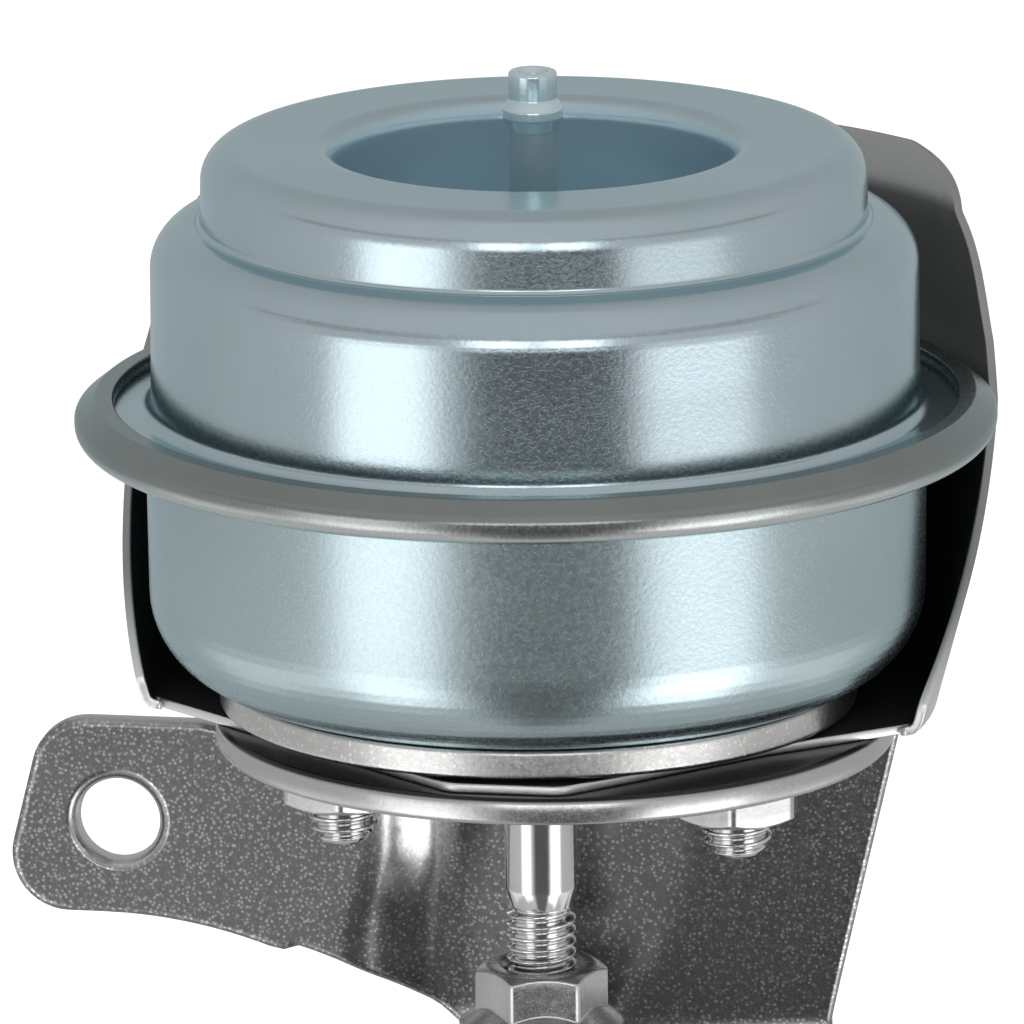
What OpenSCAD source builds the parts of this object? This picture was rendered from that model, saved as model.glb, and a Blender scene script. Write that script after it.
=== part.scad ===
// Vacuum actuator for a variable turbocharger: a crimped two-part can with a spring-loaded
// diaphragm inside, a push rod with an adjustable rod end, a pressed bracket and a heat shield.
// Origin: centre of the rod-end eye with the rod at rest. +Z runs up the rod to the hose nipple.
// X runs through the two mounting studs, and the bracket's skirt stands on the +Y side.

/* [Can] */
// Outer diameter of the rolled rim
rim_d = 78.1; // [74:0.1:84]
// Reach of the rim past the upper can's wall
rim_w = 6.55; // [6:0.05:8]
// Reach of the rim past the lower can's wall
rim_low_w = 6.1; // [5.6:0.05:8]
// Width of the shoulder ledge below the top step
ledge_w = 4.35; // [4.3:0.05:5.2]
// Width of the flat ring between the top step's wall and the well
top_w = 11.45; // [10.4:0.05:13]
// Height of the upper can above the rim's middle plane
top_h = 23.4; // [22:0.1:26]
// Height of the top step above the shoulder ledge
step_h = 6.5; // [5:0.1:8]
// Depth of the lower can below the rim's middle plane
lower_h = 22.0; // [21.5:0.1:26]
// Depth of the well
well_depth = 13.2; // [8:0.1:13.5]
// Thickness of the can's steel sheet
sheet_t = 1.0; // [0.8:0.05:1.1]
// Bend radius at the edge of the top face
top_r = 2.9; // [1.6:0.1:3]
// Bend radius at the edge of the shoulder ledge
shoulder_r = 3.9; // [2.4:0.1:3.9]
// Bend radius between the lower can's wall and its bottom
base_r = 7.6; // [4:0.1:8]

/* [Rim] */
// Width of the crimped lip that holds the upper can's flange
lip_w = 3.15; // [2.9:0.05:3.6]
// Width of the flat band on top of the crimped lip
lip_flat = 1.4; // [1.2:0.05:1.5]
// Slope of the rim's upper side outside that band, in degrees
rim_slope = 38.0; // [25:1:40]

/* [Nipple] */
// Outer diameter of the hose nipple's tube
nipple_d = 4.1; // [3.8:0.05:4.6]
// Outer diameter of the nipple's barb
barb_d = 5.1; // [4.9:0.05:6]
// Bore of the nipple
nipple_bore = 2.2; // [1.5:0.1:2.6]
// Height of the nipple's mouth above the can's top face
nipple_rise = 6.2; // [6:0.1:12]

/* [Diaphragm and spring] */
// Stroke of the rod; at rest the piston cup hangs this far below the rim's middle plane
stroke = 12.0; // [8:0.1:12.5]
// Height of the piston cup's wall
piston_h = 8.0; // [5:0.1:8.5]
// Thickness of the diaphragm's rubber
rubber_t = 0.7; // [0.5:0.05:0.8]
// Wire diameter of the return spring
wire_d = 2.5; // [2:0.05:2.6]
// Gap between the return spring and the piston cup's wall
spring_gap = 0.5; // [0.3:0.05:0.7]
// Number of active turns of the return spring
spring_turns = 4.5; // [4:0.5:5]

/* [Rod] */
// Diameter of the push rod's plain shank
rod_d = 6.1; // [5.6:0.02:6.4]
// Diameter of the thread at the rod's lower end
rod_thread_d = 6.0; // [5:0.1:6]
// Diameter of the thread at the rod's upper end
rod_top_d = 5.0; // [4:0.1:5.2]
// Length of plain rod seen below the bracket plate
rod_plain = 13.4; // [8:0.1:14]
// Length of open thread above the lock nut
rod_open_thread = 5.0; // [3:0.1:8]
// Radial clearance of the rod in its guide bush
guide_gap = 0.03; // [0.02:0.01:0.08]

/* [Rod end] */
// Distance from the lock nut's seat to the eye's centre
rod_end_l = 22.0; // [20:0.1:30]
// Outer diameter of the rod end's threaded neck
neck_d = 10.0; // [9:0.1:11]
// Outer diameter of the eye
eye_d = 15.0; // [13:0.1:15.4]
// Width of the eye
eye_w = 8.0; // [6:0.1:8.4]
// Bore of the eye's bush
eye_bore = 6.1; // [5:0.1:7]
// Wall of the eye's bush
eye_bush_t = 1.4; // [1:0.1:1.8]

/* [Fasteners] */
// Thread diameter of the mounting studs
stud_d = 6.0; // [5:0.1:6.5]
// Distance between the mounting studs
stud_gap = 34.0; // [33:0.1:36]
// Length of stud standing below its nut
stud_free = 3.7; // [2:0.1:6]
// Width across flats of the hexagon nuts
nut_af = 10.0; // [9:0.1:10.4]
// Height of the stud nuts
nut_h = 5.0; // [4:0.1:6]
// Thickness of the stud washers
washer_t = 1.1; // [0.8:0.1:1.6]
// Flange diameter of the rod's lock nut
flange_d = 14.2; // [12.5:0.1:14.6]
// Total height of the rod's lock nut
lock_nut_h = 6.0; // [5:0.1:7]
// Diametral clearance left in a nut's thread
thread_gap = 0.06; // [0.02:0.01:0.1]

/* [Stud plate] */
// Diameter of the stud plate under the can
plate_ring_d = 54.2; // [50:0.1:54.6]
// Thickness of the stud plate at its edge
plate_ring_t = 2.5; // [2:0.1:3.5]
// Height of the land under the stud plate
land_t = 0.7; // [0.4:0.1:1.2]

/* [Heat shield] */
// Thickness of the heat shield's sheet
shield_t = 0.8; // [0.6:0.05:1]
// Gap between the rim and the shield's inner face
shield_gap = 0.95; // [0.6:0.05:2]
// Reach of the shield's floor past the lower can's wall
shield_reach = 0.65; // [0.6:0.05:1.5]
// Height of the shield's top edge above the rim's middle plane
shield_top = 16.9; // [14:0.1:20]
// Outward flare of the shield's top lip
shield_flare = 1.9; // [0.5:0.1:3]
// Height of the flared lip
flare_h = 4.0; // [3:0.1:5]

/* [Bracket] */
// Thickness of the bracket's sheet
bracket_t = 2.3; // [2:0.1:2.5]
// Diameter of the bracket's round plate
bracket_d = 57.8; // [56:0.1:60]
// Offset of the round plate's centre from the rod along X
bracket_shift = 1.4; // [0:0.1:2]
// Inner bend radius between plate and skirt
bend_r = 2.3; // [1.5:0.1:2.4]
// Gap between the stud washers and the bend into the skirt
skirt_gap = 0.2; // [0.1:0.05:1]
// Depth of the recess that the skirt leaves behind the rod
recess_depth = 3.0; // [1:0.1:4]
// Fall of the skirt away from the rod, per millimetre right of the recess
skirt_lean = 0.12; // [0:0.01:0.16]
// Distance from the rod's axis to the ear's hole
ear_x = 38.35; // [36:0.05:40]
// Depth of the ear's hole below the plate's top face
ear_drop = 13.5; // [12:0.1:14.5]
// Diameter of the ear's hole
ear_hole_d = 7.2; // [6:0.1:8]
// Distance from the rod's axis to the leg's hole
leg_x = 15.0; // [14:0.1:17]
// Depth of the leg's hole below the plate's top face
leg_drop = 46.0; // [44:0.1:50]
// Diameter of the leg's hole
leg_hole_d = 7.2; // [6:0.1:8]
// Radius of the leg's round foot
leg_r = 8.5; // [7.5:0.1:9.5]

/* [Hidden] */
$fn = 96;
eps = 0.01;
// Points in each rounded bend of a pressed profile
bend_steps = 7;
// Small clearance between loosely fitted pieces
play = 0.15;

// Lengths that belong to the rod, the piston and the guide
clamp_washer_t = 1.2;
rod_taper_l = 1.8;
rod_washer_t = 1.2;
rod_washer_d = 14.0;
rod_nut_h = 3.2;
rod_nut_af = 8.0;
rod_tip = 0.8;
// Length of thread inside the rod end
rod_grip = 11.0;
stop_gap = 0.3;
thread_depth = 0.45;
// Outer diameter shared by the guide bush and the rod seal
bush_od = 10.0;
housing_neck_d = 14.0;
housing_t = 1.2;
housing_lip_t = 0.8;
seal_h = 1.8;
seal_gap = 0.05;
rod_hole_d = 11.0;
can_hole_d = 8.0;

// Studs
head_d = 10.0;
head_h = 2.5;
// The housing's flange lies between the stud heads
housing_d = stud_gap - head_d - 2.0;
stud_hole_d = stud_d + 2 * play;
stud_chamfer = 1.0;
// Turn of each hexagon about its own axis, in degrees
stud_nut_turn = [37.6, 35.4];
lock_nut_turn = 12.7;

// Diameters of the can, each a step in from the rim
body_d = rim_d - 2 * rim_w;
lower_d = rim_d - 2 * rim_low_w;
step_d = body_d - 2 * ledge_w;
well_d = step_d - 2 * top_w;
ledge_h = top_h - step_h;
// The spring runs midway between the well and the top step, and the piston cup holds it
spring_d = (well_d + step_d) / 2;
piston_d = spring_d + wire_d + 2 * (spring_gap + sheet_t);

// The rolled rim holds three layers of sheet and the diaphragm's edge
rim_h = 3 * sheet_t + rubber_t;
lip_d = rim_d - 2 * lip_w;
shield_d = rim_d + 2 * (shield_gap + shield_t);
shield_floor_d = lower_d + 2 * shield_reach;

// Heights, measured from the rim's middle plane
rim_top_z = rim_h / 2;
rim_low_z = -rim_h / 2;
flange_z = rim_top_z - sheet_t;
well_z = top_h - well_depth;
base_z = -lower_h;
ring_z = base_z - plate_ring_t;
shield_floor_z = ring_z - land_t;
bracket_z = shield_floor_z - shield_t;
under_z = bracket_z - bracket_t;
nut_z = under_z - washer_t;
stud_end_z = nut_z - nut_h - stud_free;
piston_z = -stroke;
washer_under_z = piston_z - rubber_t - clamp_washer_t;
thread_z = under_z - rod_plain - rod_taper_l;
lock_z = thread_z - rod_open_thread;
seat_z = lock_z - lock_nut_h;
eye_z = seat_z - rod_end_l;
rod_top_z = piston_z + sheet_t + rod_washer_t + rod_nut_h + rod_tip;
rod_low_z = seat_z - rod_grip;
housing_top_z = washer_under_z - stop_gap;
// Rolling fold of the diaphragm: its top, its two walls and its bend radius
roll_z = 3.2;
roll_in = piston_d / 2 + 0.3;
roll_out = body_d / 2 - sheet_t - 1.2;
roll_r = 0.45 * (roll_out - roll_in);

// Nipple
nipple_hole_gap = 0.02;
nipple_foot_d = 9.0;
nipple_foot_t = 1.2;
nipple_swage_d = 6.4;
nipple_swage_t = 1.0;
nipple_z = top_h + nipple_rise;

// Spring and its seats
spring_low_z = piston_z + sheet_t;
seat_ring_t = 1.0;
spring_high_z = top_h - sheet_t - seat_ring_t;
seat_lip_h = 3.0;
seat_lip_t = 1.0;
seat_in_r = (well_d / 2 + sheet_t + spring_d / 2 - wire_d / 2 - seat_lip_t) / 2;
seat_out_r = spring_d / 2 + wire_d / 2 + 1.6;

// Heat shield outline, seen from above and from the side
shield_corner = [shield_floor_d / 2 - 1.0, -3.5];
shield_nose = [[-8.7, -22.8], [-3.0, -27.4], [6.6, -27.4], [12.0, -22.2], [21.6, -12.4]];
shield_side = [[-4.6, shield_floor_z], [-7.7, -23.5], [6, -13.3], [17.6, 2.4],
    [20.6, 6.5], [20.2, 14.2], [32.3, shield_top]];
shield_bend_r = 1.4;

// Front face of the skirt, just behind the stud washers
washer_d = nut_af + 1.0;
skirt_y = washer_d / 2 + skirt_gap + bend_r;
// Bracket outline, seen along Y, with heights below the plate's top face
ear_top_z = under_z - bend_r;
ear_centre_z = bracket_z - ear_drop;
ear_r = 5.0;
ear_low_z = ear_centre_z - 8.4;
ear_top_x = -ear_x - 6.55;
ear_low_x = -ear_x - 10.9;
fillet_x = -ear_x - 1.65;
fillet_r = 44.0;
// Small step in the lower edge, and the sweep that runs on from it to the leg
step_x = -24.0;
sweep_centre = [-32.6, bracket_z - 58.9];
sweep_r = 36.0;
leg_z = bracket_z - leg_drop;
leg_side = [[22.9, bracket_z - 30.8]];
skirt_right_x = bracket_shift + bracket_d / 2 - 1.35;
plate_left_x = bracket_shift - sqrt(pow(bracket_d / 2, 2) - pow(skirt_y, 2));
relief = 0.9;
// Left edge of the recess, and the width of its wall at the plate and low on the skirt
recess_left = -17.0;
recess_w = 7.0;
recess_low_w = 16.0;
// Curved crease from which the skirt leans back: its middle, its two radii and its softness
crease_mid = [-2.0, bracket_z - 12.0];
crease_r = [14.5, 20.0];
crease_w = 3.0;
// The foot of the leg lies flat in the plane of the ear
foot_z = leg_z + 6.0;
foot_rise = 10.0;

// Helpers

// Everything is drawn from the rim's middle plane and lifted so that the eye is the origin
module from_rim() translate([0, 0, -eye_z]) children();

// Unit vector, its left-hand normal, and the turn between two directions
function unit(v) = v / norm(v);
function left(v) = [-v[1], v[0]];
function turn(a, b) = a[0] * b[1] - a[1] * b[0];

// A path is a list of [x, y, bend radius]; shifted() moves it sideways by d to its left
function dir(p, i) = unit([p[i + 1][0] - p[i][0], p[i + 1][1] - p[i][1]]);
function shifted(p, d) = [for (i = [0 : len(p) - 1])
    let (
        a = i > 0 ? dir(p, i - 1) : dir(p, i),
        b = i < len(p) - 1 ? dir(p, i) : a,
        m = (left(a) + left(b)) / (1 + a * b),
        s = turn(a, b) > 0 ? -d : d)
    [p[i][0] + m[0] * d, p[i][1] + m[1] * d, p[i][2] > 0 ? max(p[i][2] + s, 0.05) : 0]];

// The same path with each bend drawn as an arc
function bent(p) = [for (i = [0 : len(p) - 1])
    let (v = [p[i][0], p[i][1]])
    each (i == 0 || i == len(p) - 1 || p[i][2] == 0) ? [v] :
        let (
            a = dir(p, i - 1),
            b = dir(p, i),
            half = acos(min(1, max(-1, a * b))) / 2,
            back = p[i][2] * tan(half),
            c = v - a * back + left(a) * p[i][2] * sign(turn(a, b)),
            start = atan2((v - a * back - c)[1], (v - a * back - c)[0]),
            sweep = 2 * half * sign(turn(a, b)))
        [for (k = [0 : bend_steps]) c + p[i][2] *
            [cos(start + sweep * k / bend_steps), sin(start + sweep * k / bend_steps)]]];

function reversed(p) = [for (i = [len(p) - 1 : -1 : 0]) p[i]];

// Closed outline of a sheet of thickness t that lies to the left (t > 0) of a path
function sheet(p, t) = concat(bent(p), reversed(bent(shifted(p, t))));

function smooth(t) = let (s = min(1, max(0, t))) s * s * (3 - 2 * s);
// Rises from zero to a straight line of slope one over a width w
function ramp(t, w) = t < 0 ? 0 : t < w ? t * t / (2 * w) : t - w / 2;
// Cubic curve through four points of the list p, from point i on
function bezier3(p, i, t) = pow(1 - t, 3) * p[i] + 3 * pow(1 - t, 2) * t * p[i + 1]
    + 3 * (1 - t) * t * t * p[i + 2] + pow(t, 3) * p[i + 3];

module ring(d_out, d_in, h) difference() {
    cylinder(d = d_out, h = h);
    translate([0, 0, -eps]) cylinder(d = d_in, h = h + 2 * eps);
}

// Hexagon prism with its corners turned down to a cone at the top and bottom
module hex_nut(af, d_in, h, turn_deg) difference() {
    intersection() {
        rotate([0, 0, turn_deg]) cylinder(d = af / cos(30), h = h, $fn = 6);
        nut_blank(af, h);
    }
    translate([0, 0, -eps]) cylinder(d = d_in + thread_gap, h = h + 2 * eps);
}

// Turned blank whose chamfers give a nut's hexagon its curved corners
module nut_blank(af, h) rotate_extrude() polygon([
    [0, 0], [af / 2 * 0.96, 0], [af / 2 / cos(30) + 0.05, af * 0.08],
    [af / 2 / cos(30) + 0.05, h - af * 0.08], [af / 2 * 0.96, h], [0, h]]);

// Can and nipple

module top_can() color([0.55, 0.63, 0.64]) from_rim() rotate_extrude() polygon(sheet([
    [nipple_d / 2 + nipple_hole_gap, well_z, 0],
    [well_d / 2, well_z, 2.0],
    [well_d / 2, top_h, 1.9],
    [step_d / 2, top_h, top_r],
    [step_d / 2, ledge_h, 0.4],
    [body_d / 2, ledge_h, shoulder_r],
    [body_d / 2, flange_z, 1.1],
    [rim_d / 2 - 2 * sheet_t - 0.2, flange_z, 0]], -sheet_t));

// Lower can; its rim wraps round the upper can's flange and ends in a crimped lip
module lower_can() color([0.58, 0.62, 0.63]) from_rim() {
    wall = [
        [can_hole_d / 2, base_z, 0],
        [lower_d / 2, base_z, base_r],
        [lower_d / 2, rim_low_z, 0.7],
        [rim_d / 2, rim_low_z, 1.6],
        [rim_d / 2, rim_top_z - (lip_w - lip_flat) * tan(rim_slope), 0.9],
        [lip_d / 2 + lip_flat, rim_top_z, 0.4],
        [lip_d / 2, rim_top_z, 0]];
    inside = bent(shifted(wall, sheet_t));
    difference() {
        rotate_extrude() polygon(concat(bent(wall),
            [[lip_d / 2 - 0.8, flange_z]], reversed([for (i = [0 : len(inside) - 2]) inside[i]])));
        at_studs() translate([0, 0, base_z - eps]) cylinder(d = stud_hole_d, h = sheet_t + 2 * eps);
    }
}

module hose_nipple() color([0.56, 0.63, 0.65]) from_rim() difference() {
    rotate_extrude() polygon([
        [0, well_z - sheet_t - nipple_swage_t],
        [nipple_swage_d / 2 - 0.5, well_z - sheet_t - nipple_swage_t],
        [nipple_swage_d / 2, well_z - sheet_t - nipple_swage_t + 0.4],
        [nipple_swage_d / 2, well_z - sheet_t],
        [nipple_d / 2, well_z - sheet_t],
        [nipple_d / 2, well_z],
        [nipple_foot_d / 2, well_z],
        [nipple_foot_d / 2, well_z + nipple_foot_t - 0.4],
        [nipple_foot_d / 2 - 0.4, well_z + nipple_foot_t],
        [nipple_d / 2 + 0.6, well_z + nipple_foot_t],
        [nipple_d / 2, well_z + nipple_foot_t + 0.6],
        [nipple_d / 2, nipple_z - 5.1],
        [barb_d / 2 - 0.12, nipple_z - 4.1],
        [barb_d / 2, nipple_z - 3.8],
        [barb_d / 2, nipple_z - 3.3],
        [barb_d / 2 - 0.12, nipple_z - 3.0],
        [nipple_d / 2, nipple_z - 2.4],
        [nipple_d / 2, nipple_z - 0.3],
        [nipple_d / 2 - 0.3, nipple_z],
        [0, nipple_z]]);
    translate([0, 0, well_z - sheet_t - nipple_swage_t - eps])
        cylinder(d = nipple_bore, h = nipple_z);
}

// Diaphragm, piston and spring

// Rolling diaphragm, clamped in the rim and between the piston cup and its washer
module diaphragm() color([0.12, 0.12, 0.13]) from_rim() rotate_extrude() polygon(sheet([
    [rod_top_d / 2 + play, piston_z, 0],
    [roll_in, piston_z, 1.2],
    [roll_in, roll_z, roll_r],
    [roll_out, roll_z, roll_r],
    [roll_out, flange_z - sheet_t, 0.5],
    [rim_d / 2 - 2 * sheet_t - 0.2, flange_z - sheet_t, 0]], -rubber_t));

module piston_cup() color([0.62, 0.63, 0.65]) from_rim() rotate_extrude() polygon(sheet([
    [rod_top_d / 2 + play, piston_z, 0],
    [piston_d / 2, piston_z, 1.6],
    [piston_d / 2, piston_z + piston_h, 0]], sheet_t));

module clamp_washer() color([0.62, 0.63, 0.65]) from_rim()
    translate([0, 0, washer_under_z]) ring(piston_d - 3.2, rod_top_d + 2 * play, clamp_washer_t);

module spring_seat() color([0.6, 0.61, 0.63]) from_rim() {
    translate([0, 0, spring_high_z]) ring(2 * seat_out_r, 2 * seat_in_r, seat_ring_t);
    translate([0, 0, spring_high_z - seat_lip_h])
        ring(2 * (seat_in_r + seat_lip_t), 2 * seat_in_r, seat_lip_h + eps);
}

// Wire of the spring: both end turns lie closed, the turns between them are open
wire_sides = 8;
turn_steps = 24;
end_turns = 1.0;
all_turns = spring_turns + 2 * end_turns;
function spring_z(t) = let (
    low = spring_low_z + wire_d / 2,
    high = spring_high_z - wire_d / 2,
    closed = (wire_d + 0.1) * end_turns,
    open = high - low - 2 * closed)
    t < end_turns ? low + closed * t / end_turns :
    t > all_turns - end_turns ? high - closed * (all_turns - t) / end_turns :
    low + closed + open * (t - end_turns) / spring_turns;

module return_spring() color([0.45, 0.46, 0.48]) from_rim() {
    rings = [for (i = [0 : all_turns * turn_steps]) let (t = i / turn_steps)
        [for (k = [0 : wire_sides - 1]) let (
            a = 360 * k / wire_sides,
            r = spring_d / 2 + wire_d / 2 * cos(a))
            [r * cos(360 * t), r * sin(360 * t), spring_z(t) + wire_d / 2 * sin(a)]]];
    n = len(rings);
    polyhedron(
        points = [for (r = rings) each r],
        faces = concat(
            [[for (k = [0 : wire_sides - 1]) k]],
            [[for (k = [wire_sides - 1 : -1 : 0]) (n - 1) * wire_sides + k]],
            [for (i = [0 : n - 2], k = [0 : wire_sides - 1]) let (
                a = i * wire_sides + k,
                b = i * wire_sides + (k + 1) % wire_sides)
                each [[a, a + wire_sides, b + wire_sides], [a, b + wire_sides, b]]]));
}

// Rod, guide and rod end

module push_rod() color([0.78, 0.79, 0.8]) from_rim() rotate_extrude() polygon([
    [0, rod_low_z],
    [rod_thread_d / 2 - 0.8, rod_low_z],
    [rod_thread_d / 2, rod_low_z + 0.8],
    [rod_thread_d / 2, thread_z - 0.3],
    [rod_thread_d / 2 - thread_depth, thread_z],
    [rod_d / 2, thread_z + rod_taper_l],
    [rod_d / 2, washer_under_z],
    [rod_top_d / 2, washer_under_z],
    [rod_top_d / 2, rod_top_z - 0.5],
    [rod_top_d / 2 - 0.5, rod_top_z],
    [0, rod_top_z]]);

module rod_washer() color([0.62, 0.63, 0.65]) from_rim() translate([0, 0, piston_z + sheet_t])
    ring(rod_washer_d, rod_top_d + 2 * play, rod_washer_t);

module rod_nut() color([0.66, 0.67, 0.69]) from_rim()
    translate([0, 0, piston_z + sheet_t + rod_washer_t])
        hex_nut(rod_nut_af, rod_top_d, rod_nut_h, 0);

// Turned housing that stands on the lower can's floor and stops the piston at rest
module bush_housing() color([0.6, 0.61, 0.63]) from_rim() difference() {
    rotate_extrude() polygon(concat(
        [[0, base_z + sheet_t], [housing_d / 2, base_z + sheet_t]],
        [[housing_d / 2, base_z + sheet_t + housing_t]],
        [[housing_neck_d / 2 + 0.8, base_z + sheet_t + housing_t]],
        [[housing_neck_d / 2, base_z + sheet_t + housing_t + 0.8]],
        [[housing_neck_d / 2, housing_top_z - 0.5], [housing_neck_d / 2 - 0.5, housing_top_z]],
        [[0, housing_top_z]]));
    translate([0, 0, base_z + sheet_t - eps]) cylinder(d = bush_od, h = housing_top_z - housing_lip_t
        - base_z - sheet_t + eps);
    translate([0, 0, base_z]) cylinder(d = rod_d + 2 * play + 0.4, h = lower_h);
}

module guide_bush() color([0.72, 0.56, 0.32]) from_rim()
    translate([0, 0, base_z + sheet_t + seal_h])
        ring(bush_od, rod_d + 2 * guide_gap, housing_top_z - housing_lip_t - base_z - sheet_t - seal_h);

// Lip seal: its lip runs just clear of the rod
module rod_seal() color([0.1, 0.1, 0.1]) from_rim() rotate_extrude() polygon([
    [rod_d / 2 + seal_gap, base_z + sheet_t],
    [bush_od / 2, base_z + sheet_t],
    [bush_od / 2, base_z + sheet_t + seal_h],
    [rod_d / 2 + 1.1, base_z + sheet_t + seal_h],
    [rod_d / 2 + 1.0, base_z + sheet_t + 0.8],
    [rod_d / 2 + seal_gap, base_z + sheet_t + 0.5]]);

// Flange nut that locks the rod end
module lock_nut() color([0.5, 0.5, 0.51]) from_rim() translate([0, 0, seat_z]) difference() {
    union() {
        rotate_extrude() polygon([
            [0, 0], [flange_d / 2 - 0.3, 0], [flange_d / 2, 0.3], [flange_d / 2, 0.9],
            [flange_d / 2 - 0.25, 1.2], [nut_af / 2, 2.4], [0, 2.4]]);
        intersection() {
            rotate([0, 0, lock_nut_turn]) cylinder(d = nut_af / cos(30), h = lock_nut_h, $fn = 6);
            rotate_extrude() polygon([[0, 0], [nut_af, 0], [nut_af, lock_nut_h - 1.2 - nut_af * 0.4],
                [nut_af / 2 * 0.96, lock_nut_h], [0, lock_nut_h]]);
        }
    }
    translate([0, 0, -eps]) cylinder(d = rod_thread_d + thread_gap, h = lock_nut_h + 1);
    translate([0, 0, lock_nut_h - 0.5]) cylinder(d1 = rod_thread_d, d2 = rod_thread_d + 1.2, h = 0.51);
}

// Forged rod end: a threaded neck that runs into the flat eye
module rod_end() color([0.42, 0.42, 0.43]) from_rim() difference() {
    union() {
        translate([0, 0, eye_z]) rotate([90, 0, 0]) translate([0, 0, -eye_w / 2])
            rotate_extrude() polygon([
                [0, 0], [eye_d / 2 - 0.6, 0], [eye_d / 2, 0.6], [eye_d / 2, eye_w - 0.6],
                [eye_d / 2 - 0.6, eye_w], [0, eye_w]]);
        translate([0, 0, eye_z]) rotate_extrude() polygon([
            [0, 3], [neck_d / 2 - 1.2, 3], [neck_d / 2 - 1.2, eye_d / 2 - 0.5],
            [neck_d / 2, eye_d / 2 + 2.2], [neck_d / 2, rod_end_l - 0.5],
            [neck_d / 2 - 0.5, rod_end_l], [0, rod_end_l]]);
    }
    translate([0, 0, eye_z]) rotate([90, 0, 0]) translate([0, 0, -eye_w])
        cylinder(d = eye_bore + 2 * eye_bush_t, h = 2 * eye_w);
    translate([0, 0, seat_z - rod_grip - 0.6]) cylinder(d = rod_thread_d + thread_gap, h = rod_grip + 1);
}

module rod_end_bush() color([0.7, 0.7, 0.72]) from_rim() translate([0, eye_w / 2 + 0.2, eye_z])
    rotate([90, 0, 0]) ring(eye_bore + 2 * eye_bush_t, eye_bore, eye_w + 0.4);

// Studs, washers and nuts

module at_studs() for (s = [-1, 1]) translate([s * stud_gap / 2, 0, 0]) children();

// Stud plate with a land that keeps the heat shield off its edge
module stud_plate() color([0.6, 0.6, 0.6]) from_rim() difference() {
    rotate_extrude() polygon([
        [0, shield_floor_z], [plate_ring_d / 2 - 2.6, shield_floor_z], [plate_ring_d / 2 - 2.6, ring_z],
        [plate_ring_d / 2 - 0.6, ring_z], [plate_ring_d / 2, ring_z + 0.6],
        [plate_ring_d / 2, base_z - 0.4], [plate_ring_d / 2 - 0.4, base_z], [0, base_z]]);
    translate([0, 0, shield_floor_z - eps]) {
        cylinder(d = can_hole_d, h = 2 * plate_ring_t);
        at_studs() cylinder(d = stud_hole_d, h = 2 * plate_ring_t);
    }
}

module mounting_studs() color([0.62, 0.62, 0.63]) from_rim() at_studs() rotate_extrude() polygon([
    [0, stud_end_z], [stud_d / 2 - stud_chamfer, stud_end_z],
    [stud_d / 2 - 0.45, stud_end_z + 1.1], [stud_d / 2, stud_end_z + 1.6],
    [stud_d / 2, base_z + sheet_t], [head_d / 2, base_z + sheet_t],
    [head_d / 2, base_z + sheet_t + head_h - 0.5], [head_d / 2 - 0.5, base_z + sheet_t + head_h],
    [0, base_z + sheet_t + head_h]]);

module stud_washers() color([0.6, 0.6, 0.61]) from_rim() at_studs()
    translate([0, 0, nut_z]) ring(washer_d, stud_d + 2 * play, washer_t);

module stud_nuts() color([0.55, 0.55, 0.56]) from_rim() for (i = [0, 1])
    translate([(2 * i - 1) * stud_gap / 2, 0, nut_z - nut_h])
        hex_nut(nut_af, stud_d, nut_h, stud_nut_turn[i]);

// Heat shield

// Half bowl behind the can: a revolved sheet, trimmed along a side curve and a blunt nose
module heat_shield() color([0.2, 0.2, 0.21]) from_rim() difference() {
    rotate_extrude() polygon(sheet([
        [rod_hole_d / 2, bracket_z, 0],
        [shield_floor_d / 2, bracket_z, shield_bend_r],
        [shield_d / 2 - 0.6, -1.5, 5],
        [shield_d / 2, 3, 5],
        [shield_d / 2, shield_top - flare_h, 1.6],
        [shield_d / 2 + shield_flare, shield_top, 0]], shield_t));
    translate([-shield_d, 0, 0]) rotate([90, 0, 90]) linear_extrude(2 * shield_d) polygon(concat(
        [[-shield_d, shield_floor_z]],
        [for (k = [0 : 10]) bezier3(shield_side, 0, k / 10)],
        [for (k = [1 : 10]) bezier3(shield_side, 3, k / 10)],
        [[shield_side[6][0], shield_top + 1], [-shield_d, shield_top + 1]]));
    translate([0, 0, bracket_z - eps]) linear_extrude(shield_t + 2 * eps) difference() {
        translate([-shield_d, -shield_d]) square([2 * shield_d, shield_d + shield_corner[1]]);
        polygon(concat([[-shield_corner[0], shield_corner[1] + eps]], shield_nose,
            [[shield_corner[0], shield_corner[1] + eps]]));
    }
    at_studs() translate([0, 0, bracket_z - eps]) cylinder(d = stud_hole_d + 0.4, h = 2);
}

// Bracket

// Front face of the skirt: flat at the ear, set back behind the rod, then leaning back to the right
function wall_w(z) = recess_w + (recess_low_w - recess_w) * smooth((crease_mid[1] - 3 - z) / 10);
function crease_x(z) = crease_mid[0] + crease_r[0] * sqrt(max(0,
    1 - pow(min(0, z - crease_mid[1]) / crease_r[1], 2)));
function recess(x, z) = smooth((z - foot_z) / foot_rise) * (
    recess_depth * smooth((x - recess_left) / wall_w(z)) + skirt_lean * ramp(x - crease_x(z), crease_w));
function skirt_front(x, z) = skirt_y + recess(x, min(z, ear_top_z));

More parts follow.
